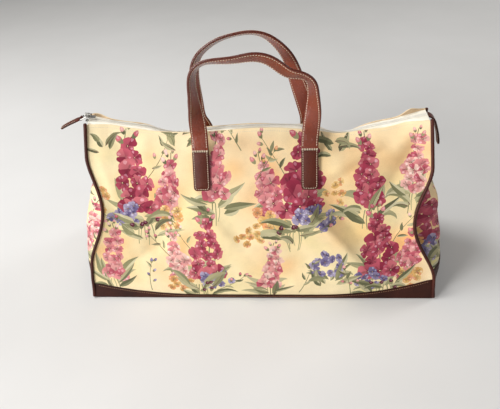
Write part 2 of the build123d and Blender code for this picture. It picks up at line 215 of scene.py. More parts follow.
def block(name, length, width, thick):
    """Block that runs along x from 0."""
    return begin(name, "cube", size=1, location=(length / 2, 0, 0), scale=(length, width, thick))


def rod(name, sides, radius, length, middle):
    """Rod that lies along x."""
    return begin(name, "cylinder", vertices=sides, radius=radius, depth=length, rotation=(0, math.pi / 2, 0),
                 location=(middle, 0, 0))


def pick(*objs):
    """Select some objects; the first is active."""
    bpy.ops.object.select_all(action="DESELECT")
    for obj in objs:
        obj.select_set(True)
    bpy.context.view_layer.objects.active = objs[0]


def choose(obj, kind, test):
    """Select the points, edges or faces that pass a test."""
    bpy.ops.mesh.select_mode(type=kind)
    bpy.ops.mesh.select_all(action="DESELECT")
    mesh = bmesh.from_edit_mesh(obj.data)
    for item in {"VERT": mesh.verts, "EDGE": mesh.edges, "FACE": mesh.faces}[kind]:
        if test(item):
            item.select_set(True)
    mesh.select_flush_mode()
    bmesh.update_edit_mesh(obj.data)


def runs(edge, axis):
    """Whether an edge runs along x (0), y (1) or z (2)."""
    way = (edge.verts[0].co - edge.verts[1].co).normalized()
    return abs(way[axis]) > 0.99


def round_off(obj, test, offset, segments=3):
    """Round the edges that pass a test."""
    choose(obj, "EDGE", test)
    bpy.ops.mesh.bevel(offset=offset, segments=segments, affect="EDGES")


def cut(places, axis):
    """Cut the whole blank across one axis at some places."""
    normal = [1.0 if i == axis else 0.0 for i in range(3)]
    for place in places:
        bpy.ops.mesh.select_all(action="SELECT")
        bpy.ops.mesh.bisect(plane_co=[place * n for n in normal], plane_no=normal)


def divide(obj, *cuts):
    """Divide the blank along its length."""
    for number in cuts:
        choose(obj, "EDGE", lambda edge: runs(edge, 0))
        bpy.ops.mesh.subdivide(number_cuts=number)


def nudge(obj, test, shift):
    """Move the points that pass a test."""
    choose(obj, "VERT", lambda vert: test(vert.co))
    bpy.ops.transform.translate(value=shift)


def repeat(count, pitch):
    """Copies of the blank in a row along x."""
    bpy.ops.object.mode_set(mode="OBJECT")
    bpy.ops.object.modifier_add(type="ARRAY")
    row = bpy.context.object.modifiers[-1]
    row.use_relative_offset, row.use_constant_offset = False, True
    row.constant_offset_displace = (pitch, 0, 0)
    row.count = count
    bpy.ops.object.modifier_apply(modifier=row.name)


def carry(obj, place):
    """Take every point of the blank to its place on the bag; gives back where it was."""
    if obj.mode == "EDIT":
        bpy.ops.object.mode_set(mode="OBJECT")
    before = [vert.co.copy() for vert in obj.data.vertices]
    for vert, point in zip(obj.data.vertices, before):
        vert.co = Vector(place(point)) * MM
    return before


def reaches(points):
    """Distance along a line of points, at each of them."""
    reach = [0.0]
    for a, b in zip(points, points[1:]):
        reach.append(reach[-1] + (b - a).length)
    return reach


def along(frames):
    """Place on a line of frames (point, across, up) of a point of a straight blank."""
    reach = reaches([row[0] for row in frames])

    def place(p):
        i = max(0, min(len(frames) - 2, bisect_right(reach, p.x) - 1))
        t = (p.x - reach[i]) / (reach[i + 1] - reach[i])
        point, across, up = (a.lerp(b, t) for a, b in zip(frames[i], frames[i + 1]))
        return point + across * p.y + up * p.z

    return place


def line_frames(points, outs):
    """Frames of a line of points on a face that looks along outs: one direction, or one for each point."""
    frames = []
    for k, point in enumerate(points):
        out = outs[k] if isinstance(outs, list) else outs
        ahead = points[min(len(points) - 1, k + 1)] - points[max(0, k - 1)]
        frames.append((point, out.cross(ahead).normalized(), out))
    return frames


def length_of(frames):
    return reaches([row[0] for row in frames])[-1]


def flat_map(obj, points):
    """Flat coordinates of a cloth, in metres, for its weave."""
    layer = obj.data.uv_layers.new(name="flat")
    for loop in obj.data.loops:
        point = points[loop.vertex_index]
        layer.data[loop.index].uv = (point[0] * MM, point[1] * MM)


def finish(obj, looks, body=None, node=None, angle=50):
    """Close a piece: faces outwards, smooth shading, material, and what it rides on and stands for."""
    pick(obj)
    bpy.ops.object.mode_set(mode="EDIT")
    bpy.ops.mesh.select_all(action="SELECT")
    bpy.ops.mesh.normals_make_consistent(inside=False)
    bpy.ops.object.mode_set(mode="OBJECT")
    bpy.ops.object.shade_smooth_by_angle(angle=math.radians(angle))
    for material in looks if isinstance(looks, list) else [looks]:
        obj.data.materials.append(material)
    if body:
        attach(obj, body)
    if node:
        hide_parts(node)


def sewing(name, rows, pitch, share, *radii, body=None, slot="strap_leather", look=None):
    """Rows of stitches: one stitch is shaped from a rod, repeated, and laid along each row's frames."""
    parts = []
    for k, frames in enumerate(rows):
        radius = radii[min(k, len(radii) - 1)]
        count = max(1, round(length_of(frames) / pitch))
        space = length_of(frames) / count
        middle, long = space / 2, space * share
        stitch = rod(name, 6, radius, long, middle)
        cut((middle - long * 0.28, middle + long * 0.28), 0)
        choose(stitch, "VERT", lambda vert: abs(vert.co.x - middle) > long * 0.4)
        bpy.ops.transform.resize(value=(1, 0.5, 0.5))
        bpy.ops.transform.translate(value=(0, 0, -0.6 * radius))
        repeat(count, space)
        carry(stitch, along(frames))
        parts.append(stitch)
    pick(*parts)
    if len(parts) > 1:
        bpy.ops.object.join()
    finish(parts[0], look or cream_thread, body, angle=80)
    return parts[0]


# Materials
def linear(colour):
    """Linear colour from an 8-bit screen colour."""
    return tuple((c / 255 / 12.92) if c <= 10 else ((c / 255 + 0.055) / 1.055) ** 2.4 for c in colour)


class Nodes:
    """Short hand for building one node material."""

    def __init__(self, name):
        self.material = bpy.data.materials.new(name)
        self.material.use_nodes = True
        self.tree = self.material.node_tree
        self.shader = self.tree.nodes["Principled BSDF"]
        self.where = self.tree.nodes.new("ShaderNodeTexCoord").outputs["Object"]

    def node(self, kind, **values):
        made = self.tree.nodes.new("ShaderNode" + kind)
        for key, value in values.items():
            if key.startswith("in_"):
                made.inputs[key[3:].replace("_", " ")].default_value = value
            else:
                setattr(made, key, value)
        return made

    def link(self, a, b):
        self.tree.links.new(a, b)

    def feed(self, socket, value):
        """Link a socket to another, or set its value."""
        if isinstance(value, bpy.types.NodeSocket):
            self.link(value, socket)
        else:
            socket.default_value = (*value, 1) if isinstance(value, tuple) else value

    def set(self, **values):
        for key, value in values.items():
            self.shader.inputs[key.replace("_", " ")].default_value = value

    def noise(self, where, scale, detail=3.0, roughness=0.55):
        made = self.node("TexNoise", in_Scale=scale, in_Detail=detail, in_Roughness=roughness)
        self.link(where, made.inputs["Vector"])
        return made.outputs["Fac"]

    def ramp(self, fac, *stops):
        made = self.node("ValToRGB")
        marks = made.color_ramp.elements
        while len(marks) < len(stops):
            marks.new(0.5)
        for mark, (place, value) in zip(marks, stops):
            mark.position = place
            mark.color = (*value, 1) if isinstance(value, tuple) else (value, value, value, 1)
        self.link(fac, made.inputs["Fac"])
        return made.outputs["Color"]

    def mix(self, fac, a, b, blend="MIX"):
        made = self.node("Mix", data_type="RGBA", blend_type=blend)
        for socket, value in ((made.inputs["Factor"], fac), (made.inputs[6], a), (made.inputs[7], b)):
            self.feed(socket, value)
        return made.outputs[2]

    def math(self, kind, a, b=0.0):
        made = self.node("Math", operation=kind)
        for socket, value in zip(made.inputs, (a, b)):
            self.feed(socket, value)
        return made.outputs[0]

    def bump(self, height, strength, distance):
        made = self.node("Bump", in_Strength=strength, in_Distance=distance)
        self.link(height, made.inputs["Height"])
        self.link(made.outputs["Normal"], self.shader.inputs["Normal"])

    def colour(self, socket):
        self.link(socket, self.shader.inputs["Base Color"])


def leather(name, colour, dark, worn, roughness, gloss, edge=None):
    """Smooth finished leather: fine pebbled grain, drifting colour and worn high spots."""
    m = Nodes(name)
    where = m.where
    drift = m.ramp(m.noise(where, 22.0, 4.0), (0.3, linear(dark)), (0.62, linear(colour)), (0.85, linear(worn)))
    fine = m.ramp(m.noise(where, 420.0, 2.0), (0.35, 0.86), (0.65, 1.08))
    tint = m.mix(1.0, drift, fine, "MULTIPLY")
    if edge:
        mark = m.node("Attribute", attribute_name="edge")
        tint = m.mix(mark.outputs["Fac"], tint, linear(edge))
    m.colour(tint)
    cells = m.node("TexVoronoi", feature="DISTANCE_TO_EDGE", in_Scale=900.0)
    m.link(where, cells.inputs["Vector"])
    pebble = m.ramp(cells.outputs["Distance"], (0.0, 0.0), (0.22, 1.0))
    soft = m.noise(where, 130.0, 3.0)
    m.bump(m.math("ADD", m.math("MULTIPLY", pebble, 0.35), soft), 0.32, 0.0006)
    rough = m.ramp(m.noise(where, 60.0, 3.0), (0.3, roughness - 0.07), (0.7, roughness + 0.08))
    m.link(rough, m.shader.inputs["Roughness"])
    m.set(Specular_IOR_Level=gloss)
    return m.material


def thread(name, colour, low=0.8):
    """Twisted sewing thread; low is its darkest share of the colour."""
    m = Nodes(name)
    dark = linear(tuple(c * low for c in colour))
    m.colour(m.ramp(m.noise(m.where, 600.0, 2.0), (0.35, dark), (0.7, linear(colour))))
    m.set(Roughness=0.75)
    return m.material


def woven(name, shades, pitch, roughness, sheen):
    """Plain woven cloth; colour from shades, weave from the flat coordinates."""
    m = Nodes(name)
    flat = m.node("UVMap", uv_map="flat").outputs["UV"]
    m.colour(m.ramp(m.noise(flat, 60.0, 4.0), (0.35, linear(shades[0])), (0.65, linear(shades[1]))))
    weave_bump(m, flat, pitch)
    m.set(Roughness=roughness, Sheen_Weight=sheen, Sheen_Roughness=0.5)
    return m.material


def weave_bump(m, flat, pitch, strength=0.25):
    """Crossing threads of a weave as bump."""
    turns = []
    for direction in ("X", "Y"):
        wave = m.node("TexWave", bands_direction=direction, in_Scale=0.314 / pitch, in_Distortion=1.2,
                      in_Detail=1.0)
        wave.inputs["Detail Scale"].default_value = 1.5
        m.link(flat, wave.inputs["Vector"])
        turns.append(wave.outputs["Fac"])
    slub = m.noise(flat, 180.0, 2.0)
    m.bump(m.math("ADD", m.math("MULTIPLY", turns[0], turns[1]), m.math("MULTIPLY", slub, 0.8)), strength, 0.0004)


def metal(name, colour, roughness):
    """Plated zip metal with rubbed spots."""
    m = Nodes(name)
    dull = linear(tuple(c * 0.78 for c in colour))
    m.colour(m.ramp(m.noise(m.where, 260.0, 3.0), (0.35, dull), (0.6, linear(colour))))
    rough = m.ramp(m.noise(m.where, 500.0, 3.0), (0.3, roughness - 0.08), (0.7, roughness + 0.12))
    m.link(rough, m.shader.inputs["Roughness"])
    m.set(Metallic=1.0)
    return m.material


def printed_canvas():
    """Printed cotton canvas: colour from the print attribute, broken up like ink on a weave."""
    m = Nodes("printed_canvas")
    flat = m.node("UVMap", uv_map="flat").outputs["UV"]
    ink = m.node("Attribute", attribute_name="print").outputs["Color"]
    mottle = m.ramp(m.noise(flat, 45.0, 5.0, 0.6), (0.3, 0.93), (0.7, 1.05))
    tint = m.mix(1.0, ink, mottle, "MULTIPLY")
    threads = m.ramp(m.noise(flat, 900.0, 2.0), (0.3, 0.92), (0.7, 1.06))
    m.colour(m.mix(1.0, tint, threads, "MULTIPLY"))
    weave_bump(m, flat, 0.0009, 0.3)
    m.set(Roughness=0.82, Sheen_Weight=0.1, Sheen_Roughness=0.45, Specular_IOR_Level=0.25)
    return m.material


canvas_mat = printed_canvas()
base_mat = leather("base_leather", (62, 27, 18), (46, 19, 13), (76, 36, 26), 0.42, 0.2)
piping_mat = leather("piping_leather", (76, 33, 23), (56, 24, 17), (98, 46, 32), 0.4, 0.25)
strap_mat = leather("strap_leather", (128, 54, 31), (108, 44, 25), (146, 70, 44), 0.24, 0.5, edge=(84, 36, 24))
# Darker copy of the strap leather for the sewn strap ends and the zip tabs; on the strap ends its darker tone is
# painted shade, as they lie flat on the wall while the legs take the light
patch_mat = leather("strap_end_leather", (92, 38, 24), (78, 32, 20), (106, 48, 32), 0.36, 0.25, edge=(58, 26, 18))
tape_mat = woven("zip_tape", ((240, 232, 212), (250, 245, 230)), 0.0012, 0.8, 0.2)
coil_mat = thread("zip_coil", (252, 248, 238), 0.94)
silver_mat = metal("zip_metal", (226, 224, 219), 0.34)
cream_thread = thread("cream_thread", (240, 224, 196), 0.88)
tan_thread = thread("tan_thread", (176, 130, 96))
board_mat = leather("board", (96, 84, 70), (80, 70, 58), (110, 98, 84), 0.7, 0.3)

# Print: painted flower spikes, clusters and leaves in outline shapes, drawn in the flat of each panel
CRIMSON = [(146, 42, 66), (160, 54, 76), (174, 68, 88), (188, 84, 100), (204, 108, 116)]
ROSE = [(190, 88, 102), (206, 112, 120), (220, 140, 140), (230, 164, 158)]
PINK = [(214, 132, 132), (224, 154, 148), (234, 178, 166), (240, 198, 182)]
VIOLET = [(104, 92, 132), (122, 110, 148), (142, 130, 164), (168, 156, 182)]
OCHRE = [(214, 158, 92), (226, 178, 108), (236, 196, 128), (228, 158, 108)]
SAGE = [(104, 104, 74), (126, 124, 88), (150, 146, 106), (178, 170, 128), (198, 188, 148)]
MAROON = (92, 30, 46)
CREAM = (251, 232, 190)
# Outlines: a petal, its shade and its glint by radius and angle; a bud, its light and its cup along and across it
PETAL = [(0.10, -0.6), (0.52, -0.92), (0.84, -1.0), (1.0, -0.6), (0.90, -0.08), (1.04, 0.42),
         (0.90, 0.95), (0.52, 0.9), (0.10, 0.6)]
SHADE = [(0.14, -0.5), (0.5, -0.62), (0.74, -0.3), (0.52, 0.05), (0.14, 0.3)]
GLINT = [(0.5, 0.2), (0.86, 0.12), (0.96, 0.5), (0.78, 0.8), (0.6, 0.62)]
BUD = [(-0.2, -0.5), (0.5, -0.62), (1.1, -0.4), (1.5, 0.05), (1.1, 0.45), (0.5, 0.6), (-0.2, 0.5)]
BUD_LIGHT = [(0.4, -0.1), (1.0, -0.3), (1.3, 0.0), (0.8, 0.2)]
BUD_CUP = [(-0.7, -0.15), (-0.2, -0.5), (0.35, -0.55), (0.05, 0.0), (0.35, 0.5), (-0.2, 0.5), (-0.7, 0.15)]


def paler(tone, share):
    """A tone moved towards white."""
    return tuple(c + (255 - c) * share for c in tone)


def deeper(tone, share):
    """A tone moved towards black."""
    return tuple(c * (1 - share) for c in tone)


# Strokes on a petal: how often, outline, change of tone and its least and most
STROKES = [(0.7, SHADE, deeper, 0.16, 0.3), (0.6, GLINT, paler, 0.22, 0.42)]


class Print:
    """Shapes of one panel, later ones over earlier ones."""

    def __init__(self, seed):
        self.rng = random.Random(seed)
        self.shapes = []
        self.washes_and_painted_shade = []

    def shape(self, points, inner, outer=None, centre=None, reach=1.0):
        self.shapes.append((points, linear(inner), linear(outer or inner), centre or points[0], reach))

    def petal(self, points, inner, outer=None, centre=None, reach=1.0):
        """Shape with its corners rounded off."""
        ring = []
        for (a, b), (c, d) in zip(points, points[1:] + points[:1]):
            ring += [(0.75 * a + 0.25 * c, 0.75 * b + 0.25 * d), (0.25 * a + 0.75 * c, 0.25 * b + 0.75 * d)]
        self.shape(ring, inner, outer, centre, reach)

    # Soft blob of colour laid on the ground: watercolour washes of the print, and on the front also painted shade along
    # a fold
    def wash_and_painted_shade(self, u, v, radius, colour, weight):
        self.washes_and_painted_shade.append((u, v, radius, linear(colour), weight))

    def blossom(self, u, v, size, tones):
        """Open flower of broad, uneven brush-stroke petals round a dark eye."""
        rng = self.rng
        petals = rng.choice((4, 5, 5))
        turn, squash = rng.random() * TAU, rng.uniform(0.66, 1.0)
        tilt = rng.random() * math.pi

        def at(radius, angle):
            a, b = radius * math.cos(angle), radius * math.sin(angle) * squash
            return (u + a * math.cos(tilt) - b * math.sin(tilt), v + a * math.sin(tilt) + b * math.cos(tilt))

        body = deeper(rng.choice(tones), 0.12)
        ring = [at(size * rng.uniform(0.62, 0.8), TAU * k / 11) for k in range(11)]
        self.shape(ring, deeper(body, 0.12), body, (u, v), size)
        order = list(range(petals))
        rng.shuffle(order)
        for k in order:
            middle = turn + TAU * (k + rng.uniform(-0.12, 0.12)) / petals
            half = math.pi / petals * rng.uniform(0.96, 1.2)
            far = size * rng.uniform(0.8, 1.12)
            tone = rng.choice(tones)
            ring = [at(1.06 * far * r * rng.uniform(0.93, 1.07), middle + half * a) for r, a in PETAL]
            self.petal(ring, deeper(tone, 0.16), tone, (u, v), far * 0.8)
            for chance, stroke, change, least, most in STROKES:
                if rng.random() < chance:
                    flip = rng.choice((-1, 1))
                    ring = [at(far * r, middle + half * a * flip) for r, a in stroke]
                    self.petal(ring, change(tone, rng.uniform(least, most)))
        if rng.random() < 0.8:
            self.shape([at(size * rng.uniform(0.11, 0.19), TAU * k / 7) for k in range(7)], MAROON)
            self.shape([at(size * 0.07, TAU * k / 5 + 1.0) for k in range(5)], (240, 216, 160))

    def bud(self, u, v, size, tone, heading):
        """Closed bud in a green cup."""
        a, b = math.cos(heading), math.sin(heading)
        for outline, colour in ((BUD, tone), (BUD_LIGHT, paler(tone, 0.3)), (BUD_CUP, self.rng.choice(SAGE[:3]))):
            ring = [(size * p, size * q) for p, q in outline]
            self.shape([(u + a * p - b * q, v + b * p + a * q) for p, q in ring], colour)

    def line(self, points, start, end, tone):
        """Tapered stroke, such as a stem."""
        left, right = [], []
        n = len(points)
        for i, (u, v) in enumerate(points):
            p, q = points[max(0, i - 1)], points[min(n - 1, i + 1)]
            du, dv = q[0] - p[0], q[1] - p[1]
            size = math.hypot(du, dv) or 1.0
            half = (start + (end - start) * i / (n - 1)) / 2
            left.append((u - dv / size * half, v + du / size * half))
            right.append((u + dv / size * half, v - du / size * half))
        self.shape(right + left[::-1], tone)

    def leaf(self, u, v, length, heading, bend, width, tones=SAGE):
        """Long brush-stroke leaf in two tones, split along its bent rib."""
        rng = self.rng
        rib, side_a, side_b = [], [], []
        n = 9
        a, b, turn = u, v, heading
        fat = rng.uniform(0.6, 0.95)
        for k in range(n):
            t = k / (n - 1)
            rib.append((a, b))
            half = width / 2 * math.sin(math.pi * min(1, 0.05 + 0.95 * t) ** fat) * (1 if k < n - 1 else 0)
            half *= rng.uniform(0.9, 1.1)
            side_a.append((a - math.sin(turn) * half, b + math.cos(turn) * half))
            side_b.append((a + math.sin(turn) * half * 0.8, b - math.cos(turn) * half * 0.8))
            a, b = a + math.cos(turn) * length / (n - 1), b + math.sin(turn) * length / (n - 1)
            turn += bend / (n - 1) * (0.4 + 1.2 * t)
        tone, other = rng.sample(tones, 2)
        self.shape(rib + side_a[1:-1][::-1], tone, deeper(tone, 0.1), rib[0], length)
        self.shape(rib[::-1] + side_b[1:-1], other, paler(other, 0.12), rib[0], length)
        if rng.random() < 0.5:
            self.line(rib[: n - 2], 0.9, 0.3, MAROON if rng.random() < 0.4 else SAGE[0])

    def stem(self, u, v, to_u, to_v, start, end, tone):
        """Bowed stem between two points."""
        du, dv = to_u - u, to_v - v
        bow = self.rng.uniform(-0.1, 0.1) * math.hypot(du, dv)
        shares = (0, 0.17, 0.33, 0.5, 0.67, 0.83, 1)
        self.line([(u + du * t + bow * math.sin(math.pi * t), v + dv * t) for t in shares], start, end, tone)

    def leaves(self, u, v, reach, count, wide, tall, tones=SAGE):
        """Leaves leaving a group of stems at different heights, some curling over."""
        rng = self.rng
        for k in range(count):
            way = 1 if k % 2 else -1
            start_u, start_v = u + way * rng.uniform(0, wide), v + tall * (k + rng.random()) / count
            heading = math.pi / 2 - way * rng.uniform(0.25, 1.45)
            curl = -way * rng.choice((rng.uniform(-0.8, 0.6), rng.uniform(0.8, 2.6)))
            length, width = reach * rng.uniform(0.6, 1.2), reach * rng.uniform(0.2, 0.34)
            self.leaf(start_u, start_v, length, heading, curl, width, tones)

    def foot(self, u, v, count, drop):
        """Cut stems below a group, of uneven lengths."""
        rng = self.rng
        for k in range(count):
            spread = (k - (count - 1) / 2) * 4.5
            low_u, low_v = u + spread * rng.uniform(0.6, 2.2), v - drop * rng.uniform(0.2, 1.0)
            self.stem(low_u, low_v, u + spread, v + 24, 1.0, 1.7, rng.choice(SAGE[1:4]))

    def cluster(self, u, v, wide, tall, size, tones, count):
        """Flowers crowded in an oval, lower ones in front."""
        rng = self.rng
        spots = []
        tries = 0
        while len(spots) < count and tries < 400:
            tries += 1
            a, r = rng.random() * TAU, math.sqrt(rng.random())
            x, y = u + wide * r * math.cos(a), v + tall * r * math.sin(a)
            if all(math.hypot(x - p, y - q) > size * 1.15 for p, q in spots):
                spots.append((x, y))
        for x, y in sorted(spots, key=lambda spot: -spot[1]):
            self.blossom(x, y, size * rng.uniform(0.8, 1.15), tones)

    def spike(self, u, v, height, lean, size, tones, tip, wide):
        """Flower spike: blossoms crowded below, looser above, with buds at its tip."""
        rng = self.rng
        self.stem(u, v, u + lean, v + height, 2.4, 1.1, SAGE[1])
        rows = max(3, round(height * 0.74 / (size * 1.18)))
        for k in range(rows, -1, -1):
            t = 0.06 + 0.76 * k / rows
            taper = 1 - 0.5 * k / rows
            spots = ((-1.0, 0.15, 1.15), (-0.5, 0.75))[k % 2] if k < rows * 0.62 else ((-0.5, 0.6), (0.1,))[k % 2]
            for c in spots:
                x = u + lean * t + c * size * 1.12 * wide * (0.55 + 0.5 * taper) + rng.uniform(-3, 3)
                y = v + height * t + rng.uniform(-4, 4)
                self.blossom(x, y, size * (0.66 + 0.4 * taper) * rng.uniform(0.84, 1.12), tones)
        for k in range(4):
            t = 0.86 + 0.05 * k
            sway = (1 if k % 2 else -1) * size * (0.8 - 0.18 * k) * rng.uniform(0.7, 1.2)
            heading = math.pi / 2 - sway * 0.07
            self.bud(u + lean * t + sway, v + height * t, size * (0.5 - 0.06 * k), rng.choice(tip), heading)

    def sprig(self, u, v, length, heading, tones, size):
        """Thin twig with small leaves and buds."""
        rng = self.rng
        du, dv = math.cos(heading) * length, math.sin(heading) * length
        self.stem(u, v, u + du, v + dv, 1.3, 0.6, SAGE[1])
        for k in range(5):
            t = 0.3 + 0.17 * k
            turn = heading + (1 if k % 2 else -1) * rng.uniform(0.5, 1.0)
            x, y = u + du * t, v + dv * t
            if rng.random() < 0.5:
                self.leaf(x, y, size * 2.4, turn, rng.uniform(-1, 1), size * 0.8)
            else:
                x, y = x + math.cos(turn) * size, y + math.sin(turn) * size
                self.bud(x, y, size * 0.62, rng.choice(tones), turn)
        self.bud(u + du, v + dv, size * 0.7, rng.choice(tones), heading)

    def bouquet(self, u, v, scale, way, main, side):
        """Group of spikes with small flowers and leaves at their foot; way leans it left (-1) or right (1)."""
        rng = self.rng

        def at(across, up):
            return u + way * across * scale, v + up * scale

        self.wash_and_painted_shade(*at(26, 88), 50 * scale, (243, 180, 118), 0.85)
        self.wash_and_painted_shade(*at(-30, 36), 46 * scale, (226, 212, 146), 0.7)
        self.wash_and_painted_shade(*at(-20, 120), 38 * scale, (250, 214, 150), 0.7)
        self.foot(*at(0, 14), 5, 18 * scale)
        self.leaves(*at(0, 24), 44 * scale, 8, 20 * scale, 50 * scale, SAGE[2:])
        self.sprig(*at(8, 96), 66 * scale, math.pi / 2 - way * 0.55, PINK, 6.4 * scale)
        self.spike(*at(30, 50), 84 * scale, way * 16 * scale, 10.5 * scale, side, PINK, 0.85)
        self.cluster(*at(38, 42), 20 * scale, 18 * scale, 7.8 * scale, OCHRE, 7)
        self.spike(*at(-6, 54), 112 * scale, way * -8 * scale, 13.4 * scale, main, ROSE, 1.05)
        self.cluster(*at(-24, 46), 25 * scale, 17 * scale, 7.8 * scale, VIOLET, 9)
        self.leaves(*at(0, 8), 40 * scale, 8, 22 * scale, 34 * scale)
        for _ in range(4):
            heading = math.pi / 2 + rng.uniform(-1.2, 1.2)
            self.bud(u + rng.uniform(-20, 20) * scale, v + rng.uniform(24, 42) * scale, 5.4 * scale, MAROON, heading)
        self.sprig(*at(-24, 26), 56 * scale, math.pi / 2 + way * 1.0, ROSE, 6.2 * scale)

    def lone(self, u, v, height, lean, size, tones, tip):
        """Single spike with a few leaves."""
        self.wash_and_painted_shade(u + lean, v + height * 0.62, height * 0.36, (245, 192, 132), 0.7)
        self.wash_and_painted_shade(u - lean, v + height * 0.2, height * 0.36, (230, 214, 152), 0.6)
        self.foot(u, v + 6, 3, 12)
        self.leaves(u, v + 10, height * 0.34, 5, 12, height * 0.24, SAGE[2:])
        self.spike(u, v + height * 0.26, height * 0.74, lean, size, tones, tip, 0.82)
        self.leaves(u, v + 4, height * 0.3, 5, 14, height * 0.2)


def panel_mesh(name, outline, art, place, spacing=5.0):
    """Printed cloth panel: the outlines of the print are cut into one mesh, and each face takes the colour of the
    uppermost shape over it."""
    coords = [Vector(p) for p in outline]
    faces = [list(range(len(coords)))]
    for points, *_ in art.shapes:
        area = sum(a[0] * b[1] - b[0] * a[1] for a, b in zip(points, points[1:] + points[:1]))
        ring = points if area > 0 else points[::-1]
        faces.append(list(range(len(coords), len(coords) + len(ring))))
        coords.extend(Vector(p) for p in ring)
    low = [min(p[i] for p in outline) for i in (0, 1)]
    high = [max(p[i] for p in outline) for i in (0, 1)]
    rng = random.Random(7)
    rows = int((high[1] - low[1]) / (spacing * 0.87))
    for r in range(1, rows):
        for c in range(1, int((high[0] - low[0]) / spacing)):
            coords.append(Vector((low[0] + (c + 0.5 * (r % 2) + rng.uniform(-0.15, 0.15)) * spacing,
                                  low[1] + (r + rng.uniform(-0.15, 0.15)) * spacing * 0.87)))
    verts, _, tris, _, _, owners = delaunay_2d_cdt(coords, [], faces, 1, 1e-4)
    kept = [(tri, max(owner)) for tri, owner in zip(tris, owners) if 0 in owner]
    used = sorted({i for tri, _ in kept for i in tri})
    index = {old: new for new, old in enumerate(used)}
    flat = [verts[i] for i in used]
    mesh = bpy.data.meshes.new(name)
    mesh.from_pydata([Vector(place(p[0], p[1])) * MM for p in flat], [], [[index[i] for i in tri] for tri, _ in kept])
    obj = bpy.data.objects.new(name, mesh)
    bpy.context.scene.collection.objects.link(obj)
    mesh.polygons.foreach_set("use_smooth", [True] * len(mesh.polygons))
    mesh.materials.append(canvas_mat)
    flat_map(obj, flat)
    # Ground: cream with the washes laid over it, some of them painted shade along a fold of the front
    ground = []
    for p in flat:
        colour = Vector(linear(CREAM))
        for u, v, radius, tone, weight in art.washes_and_painted_shade:
            away = ((p[0] - u) ** 2 + (p[1] - v) ** 2) / (radius * radius)
            if away < 4.5:
                share = weight * math.exp(-away) * (0.75 + 1.1 * noise.noise((p[0] / 34, p[1] / 34, u)))
                colour = colour.lerp(Vector(tone), max(0.0, min(1.0, share)))
        ground.append(colour)
    layer = obj.data.color_attributes.new(name="print", type="FLOAT_COLOR", domain="CORNER")
    colours = []
    for poly, (_, owner) in zip(obj.data.polygons, kept):
        for corner in poly.vertices:
            if owner == 0:
                colour = ground[corner]
            else:
                _, inner, outer, centre, reach = art.shapes[owner - 1]
                p = flat[corner]
                away = math.hypot(p[0] - centre[0], p[1] - centre[1]) / reach
                colour = Vector(inner).lerp(Vector(outer), min(1.0, away))
            colours.extend((*colour, 1.0))
    layer.data.foreach_set("color", colours)
    return obj


# Folds of the front and back cloth, outwards in millimetres
def ridge(x, z, ax, az, bx, bz, above, below, height, crest):
    """Fold from a to b that falls away at its own rate above and below its line; crest is how round its top is."""
    dx, dz = bx - ax, bz - az
    size = math.hypot(dx, dz)
    t = ((x - ax) * dx + (z - az) * dz) / (size * size)
    off = ((z - az) * dx - (x - ax) * dz) / size
    rate = above if (off > 0) == (dx > 0) else below
    ends = step(-0.12, 0.22, t) * (1 - step(0.66, 1.12, t))
    return height * ends * math.exp((crest - math.hypot(off, crest)) / rate)


FRONT_FOLDS = [
    (46, 184, 172, 46, 11, 36, 11.0, 1.6),
    (88, 178, 190, 70, 26, 12, -5.5, 5.0),
    (108, 196, 192, 246, 16, 9, 3.6, 3.0),
    (108, 180, 204, 238, 5, 8, -2.8, 1.2),
    (240, 244, 192, 168, 13, 15, -6.5, 5.0),
    (262, 118, 180, 100, 20, 22, -7.0, 8.0),
    (-256, 148, -136, 112, 20, 24, -7.0, 8.0),
    (-100, 166, -184, 74, 16, 18, -5.0, 3.0),
    (-112, 166, -28, 92, 10, 28, 6.5, 2.0),
    (-212, 250, -160, 166, 16, 18, -5.0, 6.0),
    (-236, 214, -206, 120, 10, 12, 3.4, 4.0),
    (-40, 34, 92, 24, 5, 8, 2.2, 2.0),
    (-150, 44, -40, 30, 6, 9, 1.8, 2.0),
    (110, 40, 216, 52, 6, 10, 2.2, 2.0),
    (10, 132, 52, 96, 9, 14, 2.6, 2.5),
    (-236, 46, -118, 108, 22, 9, -6.0, 2.0),
]
BACK_FOLDS = [
    (-48, 178, -176, 52, 12, 32, 8.5, 2.0),
    (-92, 176, -190, 78, 22, 12, -4.0, 5.0),
    (64, 176, 132, 84, 12, 24, 6.5, 2.0),
    (106, 166, 186, 84, 16, 18, -4.5, 3.0),
    (-110, 186, -200, 232, 7, 9, 3.2, 1.6),
    (216, 248, 164, 170, 16, 18, -4.5, 6.0),
    (258, 118, 146, 100, 20, 24, -6.5, 8.0),
    (-258, 146, -168, 116, 20, 24, -6.5, 8.0),
    (-30, 118, 70, 64, 12, 22, 3.4, 2.5),
    (-90, 36, 60, 26, 5, 8, 2.0, 2.0),
]
CLOTHS = {-1: (FRONT_FOLDS, 2.0), 1: (BACK_FOLDS, 8.0)}
OUT = Vector((0, -0.925, 0.38))


def cloth_out(x, z, folds, seed):
    """How far the sagging cloth stands off the plain wall."""
    off = sum(ridge(x, z, *fold) for fold in folds)
    edge = min(x - seam_x(-1, z), seam_x(1, z) - x)
    top = zip_line(x) - z
    low = z - swoop_line(x)
    off += 2.2 * noise.noise((x / 70, z / 55, seed)) + 0.6 * noise.noise((x / 26, z / 24, seed + 4))
    off += 0.7 * math.sin(x / 5.5 + 3 * noise.noise((x / 40, seed, 0))) * bell(top, 22)
    off += 2.4 * bell(low - 26, 20)
    off *= step(0, 26, edge) * step(0, 16, top) * step(-2, 14, low)
    off += 1.5 * bell(max(0, edge), 5) - 0.9 * bell(max(0, low), 3.5)
    return off


def wall_place(face):
    """Point of the front (-1) or back (1) cloth from its flat coordinates."""

    def place(u, v):
        x, z = u * -face, v / SLANT
        off = cloth_out(x, z, *CLOTHS[face])
        drop = zip_line(x) - z
        lift = (rim(face, x) - zip_line(x)) * bell(drop, LIFT_REACH)
        return (x, face * (wall_depth(x, z) - pinch(x, drop) - off * OUT.y), z + lift + off * OUT.z)

    return place


